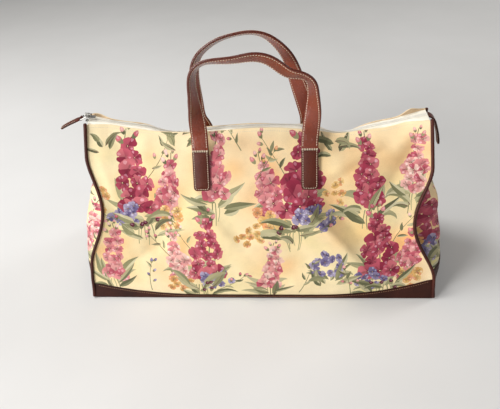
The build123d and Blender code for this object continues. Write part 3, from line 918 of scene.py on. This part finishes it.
def wall_outline(face):
    """Edge of a front or back panel in its flat coordinates, anticlockwise."""
    points = [(x, swoop_line(x) - 2.5) for x in spread(seam_x(-1, CORNER_HEIGHT), seam_x(1, CORNER_HEIGHT), 120)]
    left, right = points[0][1], points[-1][1]
    points += [(seam_x(1, z), z) for z in spread(right, zip_line(ZIP_END), 60)[1:-1]]
    points += [(x, zip_line(x)) for x in spread(ZIP_END, -ZIP_END, 120)]
    points += [(seam_x(-1, z), z) for z in spread(zip_line(-ZIP_END), left, 60)[1:-1]]
    if face > 0:
        points = [(-x, z) for x, z in points[::-1]]
    return [(x, z * SLANT) for x, z in points]


def front_art():
    """Own layout for the front."""
    art = Print(11)
    # Ground washes of the front: large sage washes at the left and large peach washes at the right; the four narrow
    # peach washes along the upper side of the main fold on the right are painted shade
    for u, v, radius, colour in (
        (-196, 214, 60, (232, 226, 182)), (-150, 130, 56, (228, 222, 176)), (-110, 74, 52, (232, 226, 180)),
        (-226, 60, 40, (244, 206, 150)), (104, 158, 40, (245, 196, 142)), (128, 118, 40, (244, 200, 148)),
        (214, 214, 46, (242, 204, 150)), (40, 60, 56, (250, 224, 168)), (238, 96, 36, (238, 226, 180)),
        (150, 200, 44, (250, 218, 164)), (84, 166, 20, (236, 176, 124)), (104, 148, 20, (236, 178, 126)),
        (122, 128, 18, (237, 182, 130)), (140, 106, 16, (238, 188, 138)),
    ):
        art.wash_and_painted_shade(u, v * SLANT, radius, colour, 0.75)
    art.bouquet(-178, 96, 1.12, 1, CRIMSON, ROSE)
    art.bouquet(58, 92, 1.16, -1, CRIMSON, ROSE + PINK[:1])
    art.lone(-62, 140, 146, 8, 11.5, ROSE + CRIMSON[-1:], PINK)
    art.lone(168, 124, 150, -8, 12.2, CRIMSON[1:], ROSE)
    art.lone(232, 150, 126, 4, 10.5, PINK + ROSE[:2], PINK)
    art.bouquet(-92, -10, 1.0, -1, CRIMSON[1:], PINK)
    art.lone(-238, 6, 128, 8, 11.0, ROSE + PINK[:2], PINK)
    art.lone(18, -6, 112, 8, 10.2, PINK + ROSE[:2], PINK)
    art.bouquet(196, -8, 1.02, 1, CRIMSON, ROSE)
    art.leaves(112, 30, 38, 6, 12, 22)
    art.cluster(110, 66, 24, 20, 8.0, VIOLET, 10)
    art.leaves(112, 22, 36, 5, 14, 20)
    art.cluster(-14, 116, 22, 14, 7.8, OCHRE, 7)
    art.cluster(-246, 180, 14, 24, 7.8, OCHRE, 6)
    art.cluster(118, 182, 16, 20, 7.6, OCHRE, 6)
    art.sprig(-140, 78, 52, 2.3, ROSE, 6.4)
    art.sprig(146, 8, 52, 1.8, ROSE, 6.4)
    art.sprig(64, 12, 60, 1.2, VIOLET, 6.0)
    art.sprig(-176, 14, 54, 1.5, VIOLET, 6.0)
    art.sprig(2, 206, 52, 1.0, OCHRE, 6.2)
    art.sprig(-20, 250, 40, 2.2, ROSE, 6.0)
    art.leaves(118, 238, 36, 6, 10, 24)
    art.leaves(-112, 246, 34, 6, 10, 24)
    art.leaves(-228, 246, 32, 5, 10, 20)
    return art


def back_art():
    """Own layout for the back."""
    art = Print(29)
    art.bouquet(-206, 8, 1.05, 1, CRIMSON, ROSE)
    art.bouquet(-92, 98, 1.12, -1, CRIMSON, ROSE + PINK[:1])
    art.lone(-200, 150, 134, 6, 11.2, ROSE, PINK)
    art.bouquet(24, -8, 1.02, 1, CRIMSON[1:], PINK)
    art.lone(-112, -2, 114, -6, 10.2, PINK + ROSE[:2], PINK)
    art.bouquet(128, 98, 1.12, 1, CRIMSON, ROSE)
    art.lone(18, 142, 140, -8, 11.6, CRIMSON[1:], ROSE)
    art.lone(118, -4, 116, 6, 10.2, PINK + ROSE[:2], PINK)
    art.lone(222, -6, 132, -6, 11.4, CRIMSON[1:], ROSE)
    art.lone(228, 144, 130, -6, 10.8, ROSE + PINK[:2], PINK)
    art.cluster(-34, 88, 22, 16, 7.8, VIOLET, 8)
    art.leaves(-34, 52, 34, 6, 12, 24)
    art.cluster(70, 170, 16, 20, 7.6, OCHRE, 6)
    art.cluster(-146, 190, 16, 20, 7.6, OCHRE, 6)
    art.sprig(-152, 90, 52, 1.3, ROSE, 6.4)
    art.sprig(66, 86, 50, 1.8, VIOLET, 6.0)
    art.sprig(168, 88, 50, 1.3, OCHRE, 6.0)
    art.leaves(70, 244, 34, 6, 10, 24)
    art.leaves(-34, 246, 34, 6, 10, 24)
    art.leaves(186, 246, 32, 5, 10, 20)
    return art


def end_art(seed):
    """Own layout for an end of the bag."""
    art = Print(seed)
    art.bouquet(-46, 26, 1.0, 1, CRIMSON, ROSE)
    art.lone(56, 36, 122, -6, 10.4, PINK + ROSE[:2], PINK)
    art.lone(8, 142, 106, 4, 9.8, ROSE, PINK)
    art.cluster(-80, 112, 10, 24, 7.4, OCHRE, 5)
    art.sprig(88, 56, 50, 1.9, VIOLET, 6.0)
    art.sprig(-94, 46, 46, 1.4, ROSE, 6.0)
    art.cluster(32, 58, 14, 12, 7.4, VIOLET, 5)
    art.leaves(-34, 196, 28, 4, 8, 18)
    return art


def end_outline(side):
    """Edge of an end panel in its flat coordinates, anticlockwise."""
    low, high = TRIM_END - 2.5, zip_line(side * ZIP_END) - 11
    right = [(wall_depth(seam_x(side, z), z) - END_INSET, z) for z in spread(low, high, 60)]
    foot, head = right[0][0], right[-1][0]
    bottom = [(y, low) for y in spread(-foot, foot, 50)[:-1]]
    top = [(y, high) for y in spread(head, -head, 12)[1:-1]]
    return bottom + right + top + [(-y, z) for y, z in right[:0:-1]]


def end_place(side, seed):
    """Point of an end panel from its flat coordinates."""

    def place(u, v):
        y, z = u * side, v
        edge_y = wall_depth(seam_x(side, z), z) - END_INSET
        edge = edge_y - abs(y)
        off = 2.2 * noise.noise((y / 44, z / 50, seed)) + 0.7 * noise.noise((y / 18, z / 20, seed + 3))
        height = DENTS[side][0]
        fall = z - height + 0.2 * abs(y) + 4 * noise.noise((y / 30, 0, seed))
        off -= 5.5 * math.exp((3 - math.hypot(fall, 3)) / (9 if fall > 0 else 15)) * (0.35 + 0.65 * abs(y) / edge_y)
        off += 2.6 * bell(fall - 30 - 0.15 * y, 12) * (abs(y) / edge_y)
        off *= step(0, 24, edge) * step(0, 14, z - TRIM_END)
        off += 0.9 * bell(max(0, edge), 4) - 0.8 * bell(max(0, z - TRIM_END), 3.5)
        return (gusset_x(side, y, z) + side * off, y, z)

    return place


WALL_FLAT, END_FLAT = (0.56, 0.315), (0.225, 0.26)
for name, node, outline, art, place, size in (
    ("front_cloth", "front_panel", wall_outline(-1), front_art(), wall_place(-1), WALL_FLAT),
    ("back_cloth", "back_panel", wall_outline(1), back_art(), wall_place(1), WALL_FLAT),
    ("left_cloth", "left_gusset", end_outline(-1), end_art(41), end_place(-1, 3.0), END_FLAT),
    ("right_cloth", "right_gusset", end_outline(1), end_art(57), end_place(1, 6.0), END_FLAT),
):
    cloth = panel_mesh(name, outline, art, place)
    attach(cloth, "bag")
    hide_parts(node)


# Leather strips round the foot of the bag, standing just proud of the cloth
STRIP_LENGTH, STRIP_HEIGHT = 549.0, 27.0


def foot_strip(name, length, cuts):
    """Strip blank on its edge: x along, y outwards from -1.4 to 1, z up, with its outer edges rounded."""
    middle = (length / 2, -0.2, STRIP_HEIGHT / 2)
    strip = begin(name, "cube", size=1, location=middle, scale=(length, 2.4, STRIP_HEIGHT))
    round_off(strip, lambda edge: runs(edge, 0) and edge.verts[0].co.y > 0, 1.0)
    cut((3.5, 7, 11, 15, 19, 23), 2)
    divide(strip, *cuts)
    return strip


def crease(height, p, *where):
    """Slight creasing of a strip, none at its edges."""
    return height * noise.noise(where) * step(2, 8, p.z) * step(2, 8, STRIP_HEIGHT - p.z)


def wall_strip(face):
    strip = foot_strip(WALL_NAME[face] + "_trim", STRIP_LENGTH, (12, 12))

    def place(p):
        x = p.x - STRIP_LENGTH / 2
        z = 0.4 + p.z / STRIP_HEIGHT * (swoop_line(x) - 0.4)
        return (x, face * (wall_depth(x, z) + p.y + crease(0.35, p, x / 30, z / 12, face * 3.0)), z)

    carry(strip, place)
    finish(strip, base_mat, "bag", WALL_NAME[face] + "_base_trim")


def end_strip(side):
    strip = foot_strip(END_NAME[side] + "_trim", 200.0, (9, 9))

    def place(p):
        z = 0.4 + p.z / STRIP_HEIGHT * (TRIM_END - 0.4)
        y = (wall_depth(seam_x(side, z), z) - 2.0) * (p.x / 100 - 1)
        out = p.y + crease(0.6, p, y / 32, z / 18, side * 5.0)
        return (gusset_x(side, y, max(z, 2.5)) + side * out, y, z)

    carry(strip, place)
    finish(strip, base_mat, "bag", END_NAME[side] + "_base_trim")


for way in (-1, 1):
    wall_strip(way)
    end_strip(way)


# Piping on the corner seams: a rod with rounded ends, laid along the seam
PIPING_RADIUS = 2.55


def piping(side, face):
    seam = []
    for z in spread(2.4, zip_line(side * ZIP_END), 110):
        x = seam_x(side, z)
        proud = 0.35 + 0.65 * step(6, 40, z)
        seam.append(Vector((x + side * 1.7 * proud, face * (wall_depth(x, z) + 2.6 * proud), z)))
    frames = line_frames(seam, Vector((0, face, 0)))
    node = f"{WALL_NAME[face]}_{END_NAME[side]}_piping"
    length = length_of(frames)
    cord = rod(node + "_cord", 14, PIPING_RADIUS, length, length / 2)
    round_off(cord, lambda edge: not runs(edge, 0), 1.3)
    divide(cord, 11, 9)
    lay = along(frames)

    def place(p):
        swell = 1 + 0.05 * noise.noise((p.x / 9, side * 2.0, face * 3.0))
        return lay(Vector((p.x, p.y * swell, p.z * swell)))

    carry(cord, place)
    finish(cord, piping_mat, "bag", node)


for way in (-1, 1):
    for turn in (-1, 1):
        piping(way, turn)


# Zip: folded canvas edges with the lining behind them, woven tapes and rows of coil teeth; the lining's darker beige is
# partly painted shade
HEM_ROWS, HEM_ROUND = 11, 1.15
TAPE_ROWS, TAPE_BEND = 9, 0.72
TEETH, COIL_OUT, COIL_UP = 330, 2.05, 0.2
hem_mat = woven("hem_canvas", ((240, 214, 168), (250, 230, 190)), 0.0009, 0.82, 0.15)
# Lining cloth: a darker beige than the hem, partly real lining colour and partly painted shade on the inner faces above
# the tape
lining_and_painted_shade_mat = woven("lining_and_painted_shade", ((196, 166, 130), (214, 186, 150)), 0.0006, 0.7, 0.1)


def zip_sheet(name, rows, place, thick):
    """Long strip of cloth beside the zip; rows are counted across it."""
    sheet = begin(name, "grid", x_subdivisions=200, y_subdivisions=rows, size=1)
    bpy.ops.transform.resize(value=(2 * TAPE_REACH, rows, 1))
    before = carry(sheet, lambda p: place(p.x, p.y / rows + 0.5))
    flat_map(sheet, before)
    bpy.ops.object.modifier_add(type="SOLIDIFY")
    wall = sheet.modifiers[-1]
    wall.thickness, wall.offset = thick * MM, 0.0
    bpy.ops.object.modifier_apply(modifier=wall.name)
    return sheet


def zip_side(face):
    side = WALL_NAME[face]

    def edge(x):
        return wall_depth(x, zip_line(x)) - pinch(x, 0), rim(face, x)

    def hem_place(x, share):
        depth, height = edge(x)
        row = share * HEM_ROWS
        if row > HEM_ROWS - 0.5:
            return (x, face * (depth - 1.9), min(height, zip_line(x)) - 2.6)
        angle = math.pi * (-0.35 + 1.5 * row / (HEM_ROWS - 1))
        return (x, face * (depth - 1.0 + HEM_ROUND * math.cos(angle)), height - 1.0 + HEM_ROUND * math.sin(angle))

    def tape_place(x, share):
        depth, height = edge(x)
        middle = zip_line(x) + ZIP_SAG(x)
        lift = -0.5 - 0.2 * math.sin(math.pi * share) + 0.2 * noise.noise((x / 14, share * 2, face * 2.0))
        bend = max(0, (share - TAPE_BEND) / (1 - TAPE_BEND)) ** 1.5
        return (x, face * (0.2 + (depth - 1.8) * share), middle + lift + (min(height, zip_line(x)) - middle) * bend)

    hem = zip_sheet(side + "_zip_hem", HEM_ROWS, hem_place, 0.3)
    finish(hem, [hem_mat, lining_and_painted_shade_mat], "bag")
    # Inner faces of the hem take the lining, whose darker beige is partly painted shade
    for face_of_hem in hem.data.polygons:
        middle = face_of_hem.center / MM
        if abs(middle.y) < edge(middle.x)[0] - 1.5:
            face_of_hem.material_index = 1
    tape = zip_sheet(side + "_tape", TAPE_ROWS, tape_place, 0.4)
    finish(tape, tape_mat, "bag", side + "_zip_tape")
    pitch = 2 * TAPE_REACH / TEETH
    tooth = begin(side + "_coil_teeth", "torus", major_segments=10, minor_segments=5, major_radius=0.92,
                  minor_radius=0.46, rotation=(0, math.pi / 2, 0), location=(pitch / 2, 0, 0))
    bpy.ops.mesh.select_all(action="SELECT")
    bpy.ops.transform.resize(value=(1, 1.12, 0.75), center_override=(0, 0, 0))
    repeat(TEETH, pitch)
    carry(tooth, lambda p: (p.x - TAPE_REACH + 0.25 * face * pitch, face * (COIL_OUT + p.y),
                            zip_line(p.x - TAPE_REACH) + ZIP_SAG(p.x - TAPE_REACH) + COIL_UP + p.z))
    finish(tooth, coil_mat, "bag", side + "_zip_coil", 80)


zip_side(-1)
zip_side(1)

# Strap handles
low_depth, stitch_depth = wall_depth(SPACING / 2, END_BOTTOM), wall_depth(SPACING / 2, STITCH_HEIGHT)
LEAN = math.atan2(low_depth - stitch_depth, STITCH_HEIGHT - END_BOTTOM)
SEAT = stitch_depth + 1.2 / math.cos(LEAN)
STRAP_DEPTH = SEAT + STRAP_THICK / 2 * math.cos(LEAN)
STITCH_Z = STITCH_HEIGHT + STRAP_THICK / 2 * math.sin(LEAN)
FRONT_LOOP = [
    (-1, 0, 0), (-1, 0.085, 0), (-1.005, 0.17, -4), (-1.015, 0.30, -26), (-1.025, 0.44, -52), (-1.03, 0.58, -69),
    (-1.03, 0.70, -75), (-1.01, 0.80, -75), (-0.94, 0.885, -71), (-0.80, 0.94, -65), (-0.57, 0.958, -58),
    (-0.25, 0.966, -52), (0.06, 0.985, -46), (0.29, 0.955, -42), (0.48, 0.88, -40), (0.66, 0.81, -42),
    (0.86, 0.785, -51), (0.99, 0.735, -56), (1.05, 0.62, -56), (1.06, 0.52, -48), (1.055, 0.40, -31),
    (1.035, 0.27, -13), (1.015, 0.17, -4), (1, 0.085, 0), (1, 0, 0),
]
BACK_LOOP = [
    (-1, 0, 0), (-1.035, 0.085, 0), (-1.09, 0.17, -4), (-1.12, 0.3, -18), (-1.115, 0.44, -42), (-1.1, 0.58, -60),
    (-1.075, 0.7, -68), (-1.03, 0.81, -70), (-0.95, 0.89, -69), (-0.81, 0.965, -68), (-0.55, 1.05, -68),
    (-0.27, 1.092, -68), (0, 1.105, -66), (0.25, 1.065, -60), (0.45, 0.975, -51), (0.58, 0.885, -45),
    (0.675, 0.78, -38), (0.745, 0.66, -29), (0.81, 0.54, -18), (0.88, 0.41, -8), (0.945, 0.28, -2),
    (0.99, 0.17, 0), (1, 0.085, 0), (1, 0, 0),
]


def smooth_line(route):
    """Smooth curve through points: the distances of the points along it, and the place at a distance."""
    knots = reaches(route)
    lines = [smooth_rows(knots, [p[i] for p in route]) for i in range(3)]
    return knots, lambda at: Vector([line(at) for line in lines])


def loop_frames(rows, face, loop_y, count):
    """Points and directions along a strap loop."""
    route = []
    for x_share, rise_share, _ in rows:
        rise = rise_share * HANDLE_RISE
        depth = max(loop_y, STRAP_DEPTH - rise * math.tan(LEAN) * LEG_LEAN)
        route.append(Vector((x_share * SPACING / 2, face * depth, STITCH_Z + rise)))
    knots, spot = smooth_line(route)
    turns = smooth_rows(knots, [row[2] for row in rows])
    rising = Vector((0, -face * math.sin(LEAN), math.cos(LEAN)))
    frames = []
    for k, at in enumerate(spread(0, knots[-1], count - 1)):
        forward = (spot(min(knots[-1], at + 0.5)) - spot(max(0, at - 0.5))).normalized()
        if k == 0 or k == count - 1:
            forward = rising * (1 if k == 0 else -1)
        outward = forward.cross(Vector((0, 1, 0))).normalized()
        across = outward.cross(forward).normalized()
        turn = math.radians(turns(at))
        width = outward * math.cos(turn) + across * math.sin(turn)
        frames.append((spot(at), width, forward.cross(width).normalized()))
    return frames


EDGE_BAND, SEW_LINE = 0.08, 0.8
STITCH_LIFT, PATCH_LIFT, PATCH_GAP = 1.9, 1.85, 0.3
TAB_THICK, TAB_CORNER = 2.6, 5.0


def edge_paint(obj, before, width):
    """Mark how near each point was to the cut edge of its strap."""
    mark = obj.data.attributes.new("edge", "FLOAT", "POINT")
    for data, point in zip(mark.data, before):
        data.value = max(0.0, 1 - (1 - abs(point.y) / (width / 2)) / EDGE_BAND)


def strap_blank(name, length, width, thick, cuts):
    """Straight strap: a block with rounded long edges, a slight crown and a sunk sewing line near each edge."""
    strap = block(name, length, width, thick)
    round_off(strap, lambda edge: runs(edge, 0), thick * 0.4)
    half, line = width / 2, SEW_LINE * width / 2
    cut([way * y for way in (-1, 1) for y in (line - 0.7, line, line + 0.7, half * 0.45)] + [0.0], 1)
    divide(strap, *cuts)
    for face in (-1, 1):
        for place, lift in ((line, -0.2), (0, 0.22), (half * 0.45, 0.16)):
            nudge(strap, lambda co: abs(abs(co.y) - place) < 0.05 and co.z * face > 0.3, (0, 0, lift * face))
    return strap


def handle(face, rows, loop_y):
    side = WALL_NAME[face]
    frames = loop_frames(rows, face, loop_y, 260)
    strap = strap_blank(side + "_strap", length_of(frames), STRAP_WIDTH, STRAP_THICK, (15, 15))
    edge_paint(strap, carry(strap, along(frames)), STRAP_WIDTH)
    finish(strap, strap_mat, None, side + "_handle")
    lines = []
    for way in (-1, 1):
        for up in (-1, 1):
            points = [p + a * (way * SEW_LINE * STRAP_WIDTH / 2) + u * (up * STITCH_LIFT) for p, a, u in frames[3:-3]]
            lines.append(line_frames(points, [u * up for _, _, u in frames[3:-3]]))
    stitches = sewing(side + "_strap_stitches", lines, 3.6, 0.74, 0.5)
    for obj in (strap, stitches):
        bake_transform(obj)


handle(-1, FRONT_LOOP, 23.0)
handle(1, BACK_LOOP, 25.0)


# Stitched leather tabs: sewn strap ends, the pull on its ring and the tab at the other end of the zip
def tab_blank(name, length, width, thick, cuts):
    """Flat tab along x with rounded far corners, rounded edges and a sunk sewing line on both faces."""
    tab = block(name, length, width, thick)
    round_off(tab, lambda edge: runs(edge, 2) and edge.verts[0].co.x > length / 2, TAB_CORNER, 6)
    round_off(tab, lambda edge: not runs(edge, 2), thick * 0.3)
    for face in (-1, 1):
        choose(tab, "FACE", lambda f: f.normal.z * face > 0.99)
        for inset, depth in ((width * (1 - SEW_LINE) / 2 - thick * 0.3 - 0.5, 0.0), (0.5, -0.2), (0.5, 0.2)):
            bpy.ops.mesh.inset(thickness=inset, depth=depth)
    cut(cuts, 0)
    return tab


def tab_sewing(length, width, near):
    """Sewing line of a tab in its own plane, down one side, round the end and up the other."""
    line, turn = SEW_LINE * width / 2, TAB_CORNER * 0.62
    far = length - (width / 2 - line)
    half = [(near, line), (far - turn, line), (far - turn * 0.3, line - turn * 0.3), (far, line - turn)]
    return half + [(x, -y) for x, y in half[::-1]]


def strap_end(side, face):
    up = Vector((0, face * math.cos(LEAN), math.sin(LEAN)))
    down = Vector((0, face * math.sin(LEAN), -math.cos(LEAN)))
    across = up.cross(down)
    origin = Vector((side * SPACING / 2, face * SEAT, STITCH_HEIGHT)) + up * (STRAP_THICK / 2)
    length = (STITCH_HEIGHT - END_BOTTOM) / math.cos(LEAN)
    name = f"{WALL_NAME[face]}_{END_NAME[side]}"
    patch = tab_blank(name + "_patch", length - PATCH_GAP, STRAP_WIDTH, STRAP_THICK, spread(0, length, 6)[1:-1])
    before = carry(patch, lambda p: origin + down * (p.x + PATCH_GAP) + across * p.y + up * p.z)
    edge_paint(patch, before, STRAP_WIDTH)
    # The strap end takes the darker leather: painted shade against the strap
    finish(patch, patch_mat, "bag", name + "_strap_end")
    top = origin + up * PATCH_LIFT
    rows = [line_frames([top + down * x + across * y for x, y in tab_sewing(length, STRAP_WIDTH, 1.5)], up)]
    for drop in (-0.5, 0.9):
        rows.append(line_frames([top + up * 0.45 + down * drop + across * y for y in (-12.0, 0.0, 12.0)], up))
    sewing(name + "_patch_stitches", rows, 3.4, 0.8, 0.4, 0.6, body="bag")


for way in (-1, 1):
    for turn in (-1, 1):
        strap_end(way, turn)


def smooth_frames(route, across, count):
    """Frames along a smooth curve through the points of a route that bends only across its width."""
    knots, spot = smooth_line(route)
    points = [spot(at) for at in spread(0, knots[-1], count - 1)]
    frames = []
    for k, point in enumerate(points):
        ahead = points[min(count - 1, k + 1)] - points[max(0, k - 1)]
        frames.append((point, across, ahead.cross(across).normalized()))
    return frames


def hanging_tab(name, node, body, route, width, across, neck):
    """Leather tab that hangs along a route; neck is the share of its width that it starts with."""
    frames = smooth_frames(route, across, 40)
    length = length_of(frames)
    tab = tab_blank(name, length, width, TAB_THICK, spread(0, length, 18)[1:16])
    for reach, share in ((0.7, neck), (length / 18, (1 + 2 * neck) / 3), (length / 9, (2 + neck) / 3)):
        choose(tab, "VERT", lambda vert: abs(vert.co.x - reach) < 0.75)
        bpy.ops.transform.resize(value=(1, share, 1))
    lay = along(frames)
    edge_paint(tab, carry(tab, lay), width)
    finish(tab, patch_mat, body, node)
    rows = []
    line = tab_sewing(length, width, 6.0)
    for face in (-1, 1):
        points, outs = [], []
        for (x, y), (x2, y2) in zip(line, line[1:]):
            for k in range(6):
                spot = Vector((x + (x2 - x) * k / 6, y + (y2 - y) * k / 6, face * (TAB_THICK / 2 - 0.15)))
                points.append(lay(spot))
                outs.append((lay(spot + Vector((0, 0, face))) - points[-1]).normalized())
        rows.append(line_frames(points, outs))
    sewing(name + "_stitches", rows, 2.9, 0.74, 0.34, body=body)


DROOP = math.radians(24)
PULL_RUN, PULL_UP = Vector((-math.cos(DROOP), 0, -math.sin(DROOP))), Vector((-math.sin(DROOP), 0, math.cos(DROOP)))
RING_HINGE, RING_REACH = Vector((-250.235, 0, 279.655)), 13.2
EYE, EYE_RADIUS, EYE_WIDTH = RING_HINGE + PULL_RUN * RING_REACH, 1.8, 9.0
PULL_WIDTH, END_TAB_WIDTH = 13.0, 14.0
ALONG_Y = Vector((0, 1, 0))
hanging_tab("pull_leather", "zip_pull_tab", "pull_tab",
            [EYE + PULL_RUN * (EYE_RADIUS + 9.15 * k) + PULL_UP * (0.7 * math.sin(math.pi * k / 4)) for k in range(5)],
            PULL_WIDTH, -ALONG_Y, 0.7)
eye_frames = []
for k in range(25):
    angle = math.radians(28 + 304 * k / 24)
    spoke = PULL_RUN * math.cos(angle) + PULL_UP * math.sin(angle)
    eye_frames.append((EYE + spoke * EYE_RADIUS, ALONG_Y, spoke))
pull_eye = block("pull_eye", length_of(eye_frames), EYE_WIDTH, 1.15)
round_off(pull_eye, lambda edge: runs(edge, 0), 0.4)
divide(pull_eye, 23)
edge_paint(pull_eye, carry(pull_eye, along(eye_frames)), EYE_WIDTH)
finish(pull_eye, patch_mat, "pull_tab")
hanging_tab("end_leather", "zip_end_tab", "bag",
            [Vector((ZIP_END + 22 * a, 0, zip_line(TAPE_REACH) - 1.0 - 48 * b))
             for a, b in ((0, 0), (0.30, 0.07), (0.62, 0.34), (0.85, 0.66), (1, 1))],
            END_TAB_WIDTH, ALONG_Y, 1.0)


# Top stitching along the leather edge and beside the zip
def top_stitches(face):
    side, place = WALL_NAME[face], wall_place(face)
    out = Vector((0, face * 0.93, 0.36))
    hem_line, zip_row = [], []
    for x in spread(-266, 266, 239):
        z = swoop_line(x) - 2.2
        hem_line.append(Vector((x, face * (wall_depth(x, z) + 1.0), z)))
    for x in spread(-246, 246, 239):
        zip_row.append(Vector(place(x * -face, (zip_line(x) - 3.6) * SLANT)))
    sewing(side + "_trim_stitches", [line_frames(hem_line, out)], 3.6, 0.72, 0.38, body="bag", slot="base_leather",
           look=tan_thread)
    sewing(side + "_zip_stitches", [line_frames(zip_row, out)], 3.4, 0.7, 0.36, body="bag", slot="canvas")


top_stitches(-1)
top_stitches(1)

# Solids that keep their shape take finished materials
for node, material in (("base_panel", base_mat), ("base_stiffener", board_mat), ("zip_slider", silver_mat),
                       ("zip_pull_ring", silver_mat)):
    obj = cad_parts[node]
    obj.data.materials.clear()
    obj.data.materials.append(material)

# Floor, light and camera
floor_mat = Nodes("floor")
cloud = floor_mat.noise(floor_mat.where, 3.0)
floor_mat.colour(floor_mat.ramp(cloud, (0.3, (0.72, 0.71, 0.69)), (0.7, (0.76, 0.75, 0.73))))
floor_mat.set(Roughness=0.7)
bpy.ops.mesh.primitive_plane_add(size=8)
floor = bpy.context.object
floor.name = "floor"
floor.data.materials.append(floor_mat.material)

world = bpy.data.worlds.new("studio")
bpy.context.scene.world = world
world.use_nodes = True
world.node_tree.nodes["Background"].inputs["Color"].default_value = (1.0, 0.985, 0.965, 1)
world.node_tree.nodes["Background"].inputs["Strength"].default_value = 0.16


def area_light(name, place, target, size, power):
    light = bpy.data.lights.new(name, "AREA")
    light.shape = "RECTANGLE"
    light.size, light.size_y = size
    light.energy = power
    obj = bpy.data.objects.new(name, light)
    obj.location = place
    obj.rotation_euler = (Vector(target) - Vector(place)).to_track_quat("-Z", "Y").to_euler()
    bpy.context.scene.collection.objects.link(obj)


area_light("key", (-2.25, -2.2, 1.1), (0, 0, 0.14), (0.9, 0.9), 79)
area_light("front", (0.1, -2.5, 1.2), (0, 0, 0.2), (0.7, 0.24), 6)
area_light("top", (-1.2, 0.15, 1.95), (0, 0, 0.15), (0.9, 0.9), 32)
area_light("rim", (2.0, 1.1, 1.45), (0, 0, 0.15), (0.8, 0.8), 17)

lens = bpy.data.cameras.new("camera")
lens.sensor_width = 36
lens.lens = 36
camera = bpy.data.objects.new("camera", lens)
bpy.context.scene.collection.objects.link(camera)
place = (0.0502, -0.6638, 0.6135)
pitch, roll, azimuth = math.radians(37.22), math.radians(-4.03), math.radians(5.67)
forward = Vector((-math.sin(azimuth) * math.cos(pitch), math.cos(azimuth) * math.cos(pitch), -math.sin(pitch)))
right = Vector((math.cos(azimuth), math.sin(azimuth), 0))
upward = right.cross(forward)
turned = right * math.cos(roll) + upward * math.sin(roll)
upward = upward * math.cos(roll) - right * math.sin(roll)
camera.matrix_world = Matrix((
    (turned.x, upward.x, -forward.x, place[0]),
    (turned.y, upward.y, -forward.y, place[1]),
    (turned.z, upward.z, -forward.z, place[2]),
    (0, 0, 0, 1),
))
bpy.context.scene.camera = camera
bpy.context.scene.view_settings.view_transform = "Standard"
